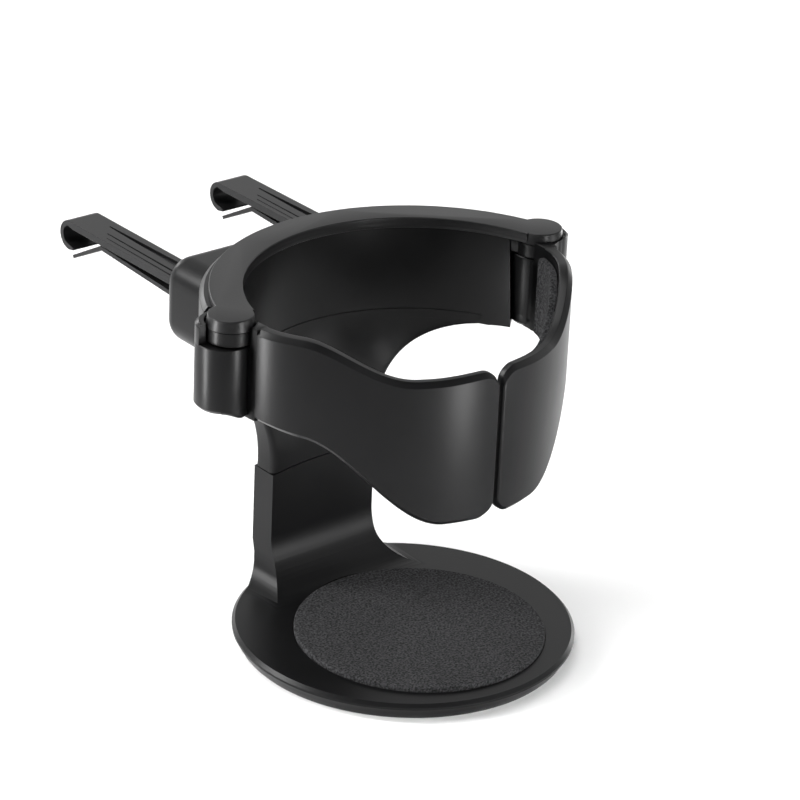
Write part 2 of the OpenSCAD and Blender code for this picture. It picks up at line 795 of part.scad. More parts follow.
module post_side_view() {
    low = base_t;
    polygon(concat([[post_front - front_sweep_r, base_t / 2]],
        arc(post_front - front_sweep_r, low + front_sweep_r, front_sweep_r, 270, 360, 16),
        [[post_front, seam_z + 5], [post_back, seam_z + 5], [post_back, base_t / 2]]));
}

module base_disc() {
    edge = 0.7;
    rotate_extrude($fn = 160)
        polygon([[0, 0], [base_r - base_draw - 0.5, 0], [base_r - base_draw, 0.5],
            [base_r, base_t - edge - 0.5], [base_r, base_t - edge], [base_r - edge, base_t], [0, base_t]]);
}

module base_hollow() {
    ribs = 6;
    hub_r = 9;
    rib_t = 1.6;
    difference() {
        translate([0, 0, -1]) cylinder(r = base_r - base_draw - base_rim, h = base_t - base_skin + 1);
        translate([0, 0, -2]) cylinder(r = hub_r, h = base_t + 2);
        for (i = [0:ribs - 1])
            rotate([0, 0, 360 * i / ribs + 30])
                translate([0, -rib_t / 2, -2])
                    cube([base_r, rib_t, base_t + 2]);
    }
}

// The post's foot draws in to the base's top edge
module foot_bound() {
    corner = norm([post_x, post_back]) + 0.5;
    edge_r = base_r - 0.9;
    draw_z = base_t + 11;
    rotate_extrude()
        polygon([[0, 0], [edge_r, 0], [edge_r, base_t + 0.3], [edge_r + 0.5 * (corner - edge_r), base_t + 5],
            [corner, draw_z], [corner, total_h], [0, total_h]]);
}

module base_bracket() {
    color(plastic)
        difference() {
            union() {
                base_disc();
                intersection() {
                    along_y(0, housing_back) post_front_view();
                    along_x(-room_x, room_x) post_side_view();
                    foot_bound();
                    below_seam(0);
                }
            }
            base_hollow();
            translate([0, -pad_forward, base_t - pad_sunk])
                cylinder(r = pad_r + sink_clear, h = 3);
            translate([-tongue_w / 2 - tongue_clear, tongue_y - tongue_clear, seam_z - tongue_len - tongue_clear])
                cube([tongue_w + 2 * tongue_clear, tongue_t + 2 * tongue_clear, tongue_len + 10]);
            for (s = [-1, 1])
                translate([s * bracket_screw_gap / 2, post_back, bracket_screw_z])
                    rotate([90, 0, 0]) {
                        translate([0, 0, -1]) cylinder(r = 2.7, h = screw_sink + 1);
                        cylinder(r = shank_r + 0.15, h = post_t / 2);
                    }
        }
}

screw_sink = 1.0;
bracket_shank = 3.2;

module bracket_screws() {
    head_r = 2.4;
    color(steel)
        for (s = [-1, 1])
            translate([s * bracket_screw_gap / 2, post_back - screw_sink, bracket_screw_z])
                rotate([90, 0, 0])
                    screw(head_r, 0.9, bracket_shank);
}

// Round sponge pad in its recess
module base_pad() {
    edge = 0.4;
    color(sponge)
        translate([0, -pad_forward, base_t - pad_sunk])
            rotate_extrude($fn = 160)
                polygon([[0, 0], [pad_r, 0], [pad_r, pad_t - edge], [pad_r - edge, pad_t], [0, pad_t]]);
}

ring_body();
top_cover();
left_arm();
right_arm();
left_arm_pad();
right_arm_pad();
left_arm_spring();
right_arm_spring();
left_hinge_washer();
right_hinge_washer();
left_hinge_screw();
right_hinge_screw();
clip_housing();
housing_plate();
housing_screws();
left_vent_clip();
right_vent_clip();
base_bracket();
base_pad();
bracket_screws();
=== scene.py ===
"""Studio picture of a car vent cup holder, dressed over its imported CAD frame.

Ten CAD pieces are shown with softened edges and procedural finishes. The clamp arms with their
sponge pads and springs, the ring body, its cover, the clip housing and the base pad are built
anew in place of the CAD's. The frame's origin is the middle of the base's underside, +Z is up
and the arms face -Y. Pieces are drawn in millimetres; finishes, lamps and camera are in metres.
"""

import logging
import math
from dataclasses import dataclass
from enum import Enum
from typing import Any, Callable, Iterable, Sequence

import bmesh
import bpy
from mathutils import Matrix, Vector


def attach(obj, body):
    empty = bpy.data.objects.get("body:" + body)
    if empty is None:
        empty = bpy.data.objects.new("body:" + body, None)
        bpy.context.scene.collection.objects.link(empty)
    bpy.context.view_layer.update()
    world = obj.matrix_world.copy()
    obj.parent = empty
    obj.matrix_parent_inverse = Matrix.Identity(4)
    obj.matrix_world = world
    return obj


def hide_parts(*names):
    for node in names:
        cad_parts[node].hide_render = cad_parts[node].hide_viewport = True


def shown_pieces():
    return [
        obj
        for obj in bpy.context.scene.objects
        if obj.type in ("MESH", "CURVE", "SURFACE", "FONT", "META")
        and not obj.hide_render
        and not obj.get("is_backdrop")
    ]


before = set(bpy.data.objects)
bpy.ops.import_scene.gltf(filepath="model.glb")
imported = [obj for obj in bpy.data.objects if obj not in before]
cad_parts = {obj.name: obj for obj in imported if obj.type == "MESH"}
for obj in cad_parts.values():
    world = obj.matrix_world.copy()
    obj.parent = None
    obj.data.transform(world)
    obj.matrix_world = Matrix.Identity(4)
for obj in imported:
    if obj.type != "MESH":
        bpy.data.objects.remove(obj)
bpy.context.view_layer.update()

LOG = logging.getLogger("cup_holder")
MM = 0.001

Point = tuple[float, float, float]
Flat = tuple[float, float]
Outliner = Callable[[float], Sequence[Flat]]
Materials = dict["Slot", bpy.types.Material]

# Middle of the ring and right hinge axis in plan, in millimetres, and the way from one to the other
RING_CENTRE: Flat = (0.0, -2.7)
HINGE: Flat = (41.4, 9.7)
HINGE_WAY = Vector(HINGE) - Vector(RING_CENTRE)
HINGE_TURN = math.degrees(math.atan2(HINGE[1] - RING_CENTRE[1], HINGE[0] - RING_CENTRE[0]))

# Ends of a tint from nothing to full
BLACK = (0.0, 0.0, 0.0)
WHITE = (1.0, 1.0, 1.0)

# A noise texture of scale 1 has lumps of about this size
NOISE_LUMP = 0.6
# Angle in degrees over which the pads' edges stay sharp
PAD_SHARP = 50.0


# Shader building


class Tree:
    """A node tree with one method that makes any node."""

    def __init__(self, tree: bpy.types.NodeTree) -> None:
        """Wraps a tree and empties it.

        Args:
            tree: the shader or geometry tree to build in.
        """
        self.tree = tree
        tree.nodes.clear()

    def node(self, kind: str, inputs: dict[Any, Any] | None = None, **props: Any) -> bpy.types.Node:
        """Makes a node, sets its properties and fills its inputs.

        Args:
            kind: the node's type name.
            inputs: input name or index to a Field, a socket or a constant.
            **props: properties of the node itself.

        Returns:
            The new node.
        """
        made = self.tree.nodes.new(kind)
        for name, value in props.items():
            setattr(made, name, value)
        for key, value in (inputs or {}).items():
            self.feed(made.inputs[key], value)
        return made

    def feed(self, socket: bpy.types.NodeSocket, value: Any) -> None:
        """Links a Field or socket to an input, or sets a constant there.

        Args:
            socket: the input to fill.
            value: a Field, an output socket or a constant.
        """
        if isinstance(value, Field):
            self.tree.links.new(value.socket, socket)
        elif isinstance(value, bpy.types.NodeSocket):
            self.tree.links.new(value, socket)
        else:
            socket.default_value = value

    def field(self, kind: str, inputs: dict[Any, Any] | None = None, out: Any = 0, **props: Any) -> "Field":
        """Makes a node and returns one of its outputs as a Field.

        Args:
            kind: the node's type name.
            inputs: what its inputs are filled with.
            out: name or index of the output.
            **props: properties of the node itself.

        Returns:
            The output, ready for arithmetic.
        """
        return Field(self, self.node(kind, inputs, **props).outputs[out])

    def noise(self, place: "Field", size: float, detail: float) -> "Field":
        """Makes a noise texture.

        Args:
            place: the position that it depends on.
            size: size of its lumps.
            detail: its detail.

        Returns:
            The noise, near 0.5 in the mean.
        """
        inputs = {"Vector": place, "Scale": NOISE_LUMP / size, "Detail": detail}
        return self.field("ShaderNodeTexNoise", inputs)

    def bump(self, shader: bpy.types.Node, height: "Field", depth: float, strength: float = 1.0) -> None:
        """Gives a shader a bumped surface.

        Args:
            shader: the Principled node.
            height: the relief, from 0 to 1.
            depth: its depth.
            strength: strength of the effect.
        """
        inputs = {"Strength": strength, "Distance": depth, "Height": height}
        self.feed(shader.inputs["Normal"], self.field("ShaderNodeBump", inputs))


class Field:
    """A node output that takes part in arithmetic."""

    def __init__(self, tree: Tree, socket: bpy.types.NodeSocket) -> None:
        """Wraps an output socket.

        Args:
            tree: the tree that the socket is in.
            socket: the output.
        """
        self.tree = tree
        self.socket = socket

    def _math(self, operation: str, *values: Any) -> "Field":
        """Result of a Math node."""
        return self.tree.field("ShaderNodeMath", dict(enumerate(values)), operation=operation)

    def __add__(self, other: Any) -> "Field":
        """Sum."""
        return self._math("ADD", self, other)

    def __sub__(self, other: Any) -> "Field":
        """Difference."""
        return self._math("SUBTRACT", self, other)

    def __rsub__(self, other: Any) -> "Field":
        """Difference, with the field last."""
        return self._math("SUBTRACT", other, self)

    def __mul__(self, other: Any) -> "Field":
        """Product."""
        return self._math("MULTIPLY", self, other)

    def __rtruediv__(self, other: Any) -> "Field":
        """Quotient, with the field last."""
        return self._math("DIVIDE", other, self)

    def clamped(self) -> "Field":
        """Returns the value held between 0 and 1."""
        return self._math("MINIMUM", self._math("MAXIMUM", self, 0.0), 1.0)

    def ramp(self, low: float, high: float, at_low: float = 0.0, at_high: float = 1.0) -> "Field":
        """Maps the value smoothly from one range to another.

        Args:
            low: value that gives at_low.
            high: value that gives at_high.
            at_low: result at and below low.
            at_high: result at and above high.

        Returns:
            The mapped value.
        """
        inputs = {"Value": self, "From Min": low, "From Max": high, "To Min": at_low, "To Max": at_high}
        return self.tree.field("ShaderNodeMapRange", inputs, interpolation_type="SMOOTHSTEP")

    def tint(self, dark: Sequence[float], light: Sequence[float]) -> "Field":
        """Mixes two colours by this value.

        Args:
            dark: colour at 0.
            light: colour at 1.

        Returns:
            The mixed colour.
        """
        made = self.tree.node("ShaderNodeMix", {0: self}, data_type="RGBA")
        colours = [s for s in made.inputs if s.type == "RGBA"]
        colours[0].default_value = (*dark, 1.0)
        colours[1].default_value = (*light, 1.0)
        return Field(self.tree, next(s for s in made.outputs if s.type == "RGBA"))


# Finishes


Colour = tuple[float, float, float]


@dataclass(frozen=True)
class Finish:
    """What all finishes have.

    Attributes:
        name: name of the material.
        dark: darkest base colour.
        light: lightest base colour.
        rough: mean roughness.
        rough_span: how far the roughness wanders.
    """

    name: str
    dark: Colour
    light: Colour
    rough: float
    rough_span: float

    def paint(self, tree: Tree, shader: bpy.types.Node, place: Field) -> None:
        """Fills the shader's inputs; each finish has its own way.

        Args:
            tree: the material's tree.
            shader: its Principled node.
            place: position on the piece.
        """
        raise NotImplementedError

    def wander(self, noise: Field) -> Field:
        """Roughness that wanders about its mean with a noise."""
        return noise * self.rough_span + self.rough - self.rough_span / 2

    def build(self) -> bpy.types.Material:
        """Builds the material.

        Returns:
            The material.
        """
        material, tree, shader = fresh_material(self.name)
        self.paint(tree, shader, tree.field("ShaderNodeTexCoord", out="Object"))
        return material


@dataclass(frozen=True)
class PlasticFinish(Finish):
    """Black moulded plastic with a fine spark-eroded grain.

    Attributes:
        grain: size of the grain.
        grain_depth: bump distance of the grain.
        cloud: size of the patches in which colour and roughness wander.
        scuff: size of the finer patches in the roughness.
        shine: strength of the reflections.
    """

    name: str = "black_plastic"
    dark: Colour = (0.0035, 0.0035, 0.0037)
    light: Colour = (0.005, 0.005, 0.0053)
    rough: float = 0.32
    rough_span: float = 0.04
    grain: float = 0.35 * MM
    grain_depth: float = 0.006 * MM
    cloud: float = 12 * MM
    scuff: float = 2.5 * MM
    shine: float = 0.14

    def paint(self, tree: Tree, shader: bpy.types.Node, place: Field) -> None:
        """Fills the shader's inputs.

        Args:
            tree: the material's tree.
            shader: its Principled node.
            place: position on the piece.
        """
        cloud = tree.noise(place, self.cloud, 3.0)
        scuffs = tree.noise(place, self.scuff, 4.0)
        tree.feed(shader.inputs["Base Color"], cloud.ramp(0.3, 0.7).tint(self.dark, self.light))
        wander = (cloud - 0.5) * self.rough_span * 2 + (scuffs - 0.5) * self.rough_span + self.rough
        tree.feed(shader.inputs["Roughness"], wander.clamped())
        tree.feed(shader.inputs["Specular IOR Level"], self.shine)
        tree.bump(shader, tree.noise(place, self.grain, 2.0), self.grain_depth)


@dataclass(frozen=True)
class SpongeFinish(Finish):
    """Fine-grained black sponge, with painted shade that makes it darkest in its pores.

    Attributes:
        pore: mean size of a pore.
        pore_depth: bump distance of the pores.
        cloud: size of the patches in which the colour wanders.
        shine: strength of the reflections.
    """

    name: str = "sponge"
    dark: Colour = (0.003, 0.003, 0.0031)
    light: Colour = (0.05, 0.05, 0.052)
    pore: float = 0.55 * MM
    pore_depth: float = 0.12 * MM
    cloud: float = 9 * MM
    rough: float = 0.92
    rough_span: float = 0.08
    shine: float = 0.1

    def paint(self, tree: Tree, shader: bpy.types.Node, place: Field) -> None:
        """Fills the shader's inputs.

        Args:
            tree: the material's tree.
            shader: its Principled node.
            place: position on the piece.
        """
        pores = tree.field("ShaderNodeTexVoronoi", {"Vector": place, "Scale": 1.0 / self.pore})
        fuzz = tree.noise(place, self.pore / 2, 3.0)
        cloud = tree.noise(place, self.cloud, 2.0)
        # Base colour: fine grain and random patches are the foam's own tone, and the pore term is painted
        # shade in the pores
        shade = (fuzz.ramp(0.36, 0.66) * 0.75 + pores.ramp(0.1, 0.7) * 0.25) * cloud.ramp(0.2, 0.8, 0.85, 1.0)
        tree.feed(shader.inputs["Base Color"], shade.tint(self.dark, self.light))
        tree.feed(shader.inputs["Roughness"], self.wander(fuzz).clamped())
        tree.feed(shader.inputs["Specular IOR Level"], self.shine)
        tree.bump(shader, (pores * 0.9 + fuzz * 1.1) * 0.5, self.pore_depth)


@dataclass(frozen=True)
class SteelFinish(Finish):
    """Bright plated steel of the screws, washers and springs.

    Attributes:
        line: size of the drawing lines.
        line_depth: bump distance of the lines.
    """

    name: str = "plated_steel"
    dark: Colour = (0.5, 0.5, 0.51)
    light: Colour = (0.62, 0.62, 0.64)
    rough: float = 0.28
    rough_span: float = 0.16
    line: float = 0.25 * MM
    line_depth: float = 0.01 * MM

    def paint(self, tree: Tree, shader: bpy.types.Node, place: Field) -> None:
        """Fills the shader's inputs.

        Args:
            tree: the material's tree.
            shader: its Principled node.
            place: position on the piece.
        """
        lines = tree.noise(place, self.line, 3.0)
        tree.feed(shader.inputs["Base Color"], lines.ramp(0.3, 0.7).tint(self.dark, self.light))
        tree.feed(shader.inputs["Roughness"], self.wander(lines).clamped())
        tree.feed(shader.inputs["Metallic"], 1.0)
        tree.bump(shader, lines, self.line_depth, 0.4)


def fresh_material(name: str) -> tuple[bpy.types.Material, Tree, bpy.types.Node]:
    """Makes an empty material with a Principled shader.

    Args:
        name: name of the material.

    Returns:
        The material, its tree and the Principled node.
    """
    material = bpy.data.materials.new(name)
    material.use_nodes = True
    tree = Tree(material.node_tree)
    shader = tree.node("ShaderNodeBsdfPrincipled")
    tree.node("ShaderNodeOutputMaterial", {"Surface": shader.outputs["BSDF"]})
    return material, tree, shader


class Slot(Enum):
    """Material slots of the record."""

    BLACK = "black_plastic"
    SATIN = "satin_plastic"
    SPONGE = "sponge"
    STEEL = "plated_steel"


FINISHES: dict[Slot, Finish] = {
    Slot.BLACK: PlasticFinish(),
    Slot.SATIN: PlasticFinish("satin_plastic", dark=(0.006, 0.006, 0.0063), light=(0.008, 0.008, 0.0083),
                              rough=0.34, rough_span=0.03, shine=0.2),
    Slot.SPONGE: SpongeFinish(),
    Slot.STEEL: SteelFinish(),
}


# Mesh building


def mesh_piece(name: str, points: Iterable[Point], faces: Iterable[Sequence[int]]) -> bpy.types.Object:
    """Makes a mesh object from points in millimetres, with its doubles merged and its normals outward.

    Args:
        name: name of the object.
        points: the vertices, in millimetres.
        faces: the faces, as vertex numbers.

    Returns:
        The new object, at the origin.
    """
    mesh = bpy.data.meshes.new(name)
    mesh.from_pydata([[c * MM for c in p] for p in points], [], [list(f) for f in faces])
    mesh.validate()
    work = bmesh.new()
    work.from_mesh(mesh)
    bmesh.ops.remove_doubles(work, verts=work.verts, dist=1e-7)
    bmesh.ops.recalc_face_normals(work, faces=work.faces)
    work.to_mesh(mesh)
    work.free()
    made = bpy.data.objects.new(name, mesh)
    bpy.context.scene.collection.objects.link(made)
    return made


def smooth(mesh: bpy.types.Mesh, angle: float = 32.0) -> None:
    """Shades a mesh smooth but for its sharp edges.

    Args:
        mesh: the mesh.
        angle: edges that turn more than this many degrees stay sharp.
    """
    mesh.polygons.foreach_set("use_smooth", [True] * len(mesh.polygons))
    mesh.set_sharp_from_angle(angle=math.radians(angle))


def polar(centre: Flat, radius: float, a: float) -> Flat:
    """Point at a radius and an angle in radians about a centre."""
    return centre[0] + radius * math.cos(a), centre[1] + radius * math.sin(a)


def heading(way: Vector) -> float:
    """Direction of a vector in plan, in degrees."""
    return math.degrees(math.atan2(way.y, way.x))


class Solids:
    """Collects closed solids that make up one piece."""

    def __init__(self) -> None:
        """Starts with nothing."""
        self.points: list[Point] = []
        self.faces: list[list[int]] = []

    def loft(self, rings: Sequence[Sequence[Point]], joined: bool = False, folded: bool = False) -> "Solids":
        """Adds a solid through rings that have the same number of points.

        Args:
            rings: the cross-sections in order.
            joined: whether the last ring joins the first, so that there are no end faces.
            folded: whether the first ring is folded flat on itself, so that it needs no face.

        Returns:
            This collection.
        """
        start, count = len(self.points), len(rings[0])
        for ring in rings:
            self.points.extend(ring)
        for i in range(len(rings) - (not joined)):
            a, b = start + i * count, start + (i + 1) % len(rings) * count
            for j in range(count):
                k = (j + 1) % count
                self.faces.append([a + j, a + k, b + k, b + j])
        if not joined:
            last = start + (len(rings) - 1) * count
            if not folded:
                self.faces.append([start + j for j in reversed(range(count))])
            self.faces.append([last + j for j in range(count)])
        return self

    def lathe(self, centre: Flat, outline: Sequence[Flat], steps: int = 96) -> "Solids":
        """Adds a solid of revolution about an upright axis.

        Args:
            centre: the axis in plan.
            outline: closed outline of radius and height; radius 0 is a pole.
            steps: number of steps round the axis.

        Returns:
            This collection.
        """
        ring_of = []
        for radius, height in outline:
            ring_of.append(len(self.points))
            turns = 1 if radius < 1e-9 else steps
            for i in range(turns):
                self.points.append((*polar(centre, radius, 2 * math.pi * i / steps), height))
        for n, (radius, _) in enumerate(outline):
            m = (n + 1) % len(outline)
            poles = radius < 1e-9, outline[m][0] < 1e-9
            if all(poles):
                continue
            for i in range(steps):
                j = (i + 1) % steps
                low = [ring_of[n]] if poles[0] else [ring_of[n] + i, ring_of[n] + j]
                high = [ring_of[m]] if poles[1] else [ring_of[m] + j, ring_of[m] + i]
                self.faces.append(low + high)
        return self

    def prism(self, flat: Sequence[Flat], low: float, top: float, edge: float) -> "Solids":
        """Adds an upright prism with softened upper and lower edges.

        Args:
            flat: its outline in plan.
            low: height of its lower face.
            top: height of its upper face.
            edge: size of the softened edges.

        Returns:
            This collection.
        """
        area = sum(a[0] * b[1] - b[0] * a[1] for a, b in zip(flat, [*flat[1:], flat[0]]))
        points = [Vector(p) for p in (flat if area > 0 else list(reversed(flat)))]
        inward = []
        for i, here in enumerate(points):
            ways = here - points[i - 1], points[(i + 1) % len(points)] - here
            sides = [Vector((-d.y, d.x)) for d in (way.normalized() for way in ways)]
            middle = (sides[0] + sides[1]).normalized()
            inward.append(middle / max(0.5, middle.dot(sides[0])))
        levels = [(low, edge), (low + 0.3 * edge, 0.3 * edge), (low + edge, 0.0)]
        levels += [(top - edge, 0.0), (top - 0.3 * edge, 0.3 * edge), (top, edge)]
        rings = [[(*(p + n * inset), height) for p, n in zip(points, inward)] for height, inset in levels]
        return self.loft(rings)

    def sector(self, centre: Flat, outline_at: Outliner, turn: Flat, steps: int) -> "Solids":
        """Adds a body swept about an upright axis, with an outline that may change with the angle.

        Args:
            centre: the axis in plan.
            outline_at: gives the closed outline of radius and height at an angle in degrees.
            turn: first and last angle in degrees; a full turn is joined up, less is capped.
            steps: number of steps between them.

        Returns:
            This collection.
        """
        full = turn[1] - turn[0] >= 360
        rings = []
        for i in range(steps + (not full)):
            angle = turn[0] + (turn[1] - turn[0]) * i / steps
            rings.append([(*polar(centre, r, math.radians(angle)), h) for r, h in outline_at(angle)])
        return self.loft(rings, joined=full)

    def mirrored(self, side: int) -> "Solids":
        """Turns a right-hand piece into a left-hand one.

        Args:
            side: -1 for left, 1 for right.

        Returns:
            This collection.
        """
        if side < 0:
            self.points = [(-x, y, z) for x, y, z in self.points]
            self.faces = [list(reversed(f)) for f in self.faces]
        return self

    def piece(self, name: str, angle: float = 32.0) -> bpy.types.Object:
        """Makes the piece's object.

        Args:
            name: name of the object.
            angle: edges that turn more than this stay sharp.

        Returns:
            The object.
        """
        made = mesh_piece(name, self.points, self.faces)
        smooth(made.data, angle)
        return made


def arc(centre: Flat, radius: float, start: float, end: float, steps: int) -> list[Flat]:
    """Points of an arc.

    Args:
        centre: its centre.
        radius: its radius.
        start: first angle in degrees.
        end: last angle in degrees.
        steps: number of steps.

    Returns:
        The points, both ends included.
    """
    return [polar(centre, radius, math.radians(start + (end - start) * i / steps)) for i in range(steps + 1)]


def rounded(width: Flat, height: Flat, radius: float, steps: int) -> list[Flat]:
    """Outline of a rectangle with rounded corners.

    Args:
        width: lowest and highest first coordinate.
        height: lowest and highest second coordinate.
        radius: radius of the corners.
        steps: steps in each corner.

    Returns:
        The outline, anticlockwise.
    """
    (x0, x1), (y0, y1) = (width[0] + radius, width[1] - radius), (height[0] + radius, height[1] - radius)
    corners = ((x0, y0, 180), (x1, y0, 270), (x1, y1, 0), (x0, y1, 90))
    return [point for x, y, turn in corners for point in arc((x, y), radius, turn, turn + 90, steps)]


def filleted(corners: Sequence[Flat], radius: float | Sequence[float], steps: int = 3) -> list[Flat]:
    """Rounds the corners of an outline.

    Args:
        corners: the outline's corners, in order.
        radius: radius of all corners, or one radius for each.
        steps: steps in each corner.

    Returns:
        The softened outline.
    """
    radii = [radius] * len(corners) if isinstance(radius, (int, float)) else radius
    points = [Vector(c) for c in corners]
    out: list[Flat] = []
    for i, here in enumerate(points):
        back, ahead = points[i - 1] - here, points[(i + 1) % len(points)] - here
        opening = back.angle(ahead)
        reach = min(radii[i] / max(1e-6, math.tan(opening / 2)), 0.48 * back.length, 0.48 * ahead.length)
        start, end = here + back.normalized() * reach, here + ahead.normalized() * reach
        for k in range(steps + 1):
            u = k / steps
            out.append(tuple(start * (1 - u) ** 2 + here * (2 * u * (1 - u)) + end * u**2))
    return out


# Sub-assemblies


def enter(made: bpy.types.Object, node: str, slot: Slot, materials: Materials, body: str = "holder") -> None:
    """Gives a piece its material and enters it in the frame.

    Args:
        made: the piece.
        node: CAD node that it replaces.
        slot: its material slot.
        materials: the built materials.
        body: CAD body that it rides on.
    """
    made.data.materials.clear()
    made.data.materials.append(materials[slot])
    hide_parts(node)
    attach(made, body)


@dataclass(frozen=True)
class ArmPath:
    """The path and edges of a clamp arm, in millimetres, for the right side.

    Attributes:
        start: outer face's start.
        start_pull: first control point.
        end_pull: second control point.
        end: outer face's end at the front.
        top: height of the top edge at the hinge end.
        top_fall: fall of the top edge.
        top_rise: its rise again close to the front.
        low: height of the lower edge at the hinge end.
        low_fall: fall of the lower edge.
        early_fall: share of that fall, in millimetres, that is done close to the hinge.
        corner: radius of the front corners.
    """

    start: Flat = (40.15, 3.1)
    start_pull: Flat = (39.4, -9.0)
    end_pull: Flat = (18.2, -27.5)
    end: Flat = (0.4, -27.5)
    top: float = 81.4
    top_fall: float = 8.0
    top_rise: float = 0.5
    low: float = 61.0
    low_fall: float = 20.3
    early_fall: float = 1.6
    corner: float = 4.0

    def at(self, t: float) -> Vector:
        """Point of the outer face at t, in plan.

        Args:
            t: share of the leaf, from 0 at the hinge to 1 at the front.

        Returns:
            The point.
        """
        u = 1 - t
        weights = (u**3, 3 * t * u * u, 3 * t * t * u, t**3)
        total = Vector((0.0, 0.0))
        for weight, point in zip(weights, (self.start, self.start_pull, self.end_pull, self.end)):
            total += Vector(point) * weight
        return total

    def inward(self, t: float) -> Vector:
        """Unit normal of the path at t, towards the cup.

        Args:
            t: share of the leaf, from 0 at the hinge to 1 at the front.

        Returns:
            The normal.
        """
        step = 1e-3
        d = (self.at(min(1.0, t + step)) - self.at(max(0.0, t - step))).normalized()
        return Vector((d.y, -d.x))

    @staticmethod
    def eased(t: float, start: float, end: float) -> float:
        """Share of a fall that is done at t."""
        u = min(1.0, max(0.0, (t - start) / (end - start)))
        return (1 - math.cos(math.pi * u)) / 2

    def top_at(self, t: float) -> float:
        """Height of the top edge at t."""
        fallen = self.top - self.top_fall * self.eased(t, 0.24, 0.68)
        return fallen + self.top_rise * self.eased(t, 0.72, 0.95)

    def low_at(self, t: float) -> float:
        """Height of the lower edge at t."""
        late = (self.low_fall - self.early_fall) * self.eased(t, 0.26, 0.8)
        return self.low - self.early_fall * self.eased(t, 0.0, 0.35) - late

    def cut(self, t: float, radius: float, set_back: float = 0.0) -> float:
        """How far a rounded front corner cuts into an edge at t.

        Args:
            t: share of the leaf, from 0 at the hinge to 1 at the front.
            radius: radius of the corner.
            set_back: how far before the leaf's end the edge stops.

        Returns:
            The depth of the cut.
        """
        d = self.at(t).x - self.end[0] - set_back
        if d >= radius:
            return 0.0
        d = max(0.0, d)
        return radius - math.sqrt(max(0.0, radius * radius - (radius - d) ** 2))

    def stations(self, first: float, last: float, steps: int) -> list[float]:
        """Values of t that crowd towards the front corner."""
        return [first + (last - first) * math.sin(math.pi / 2 * i / steps) ** 0.9 for i in range(steps + 1)]


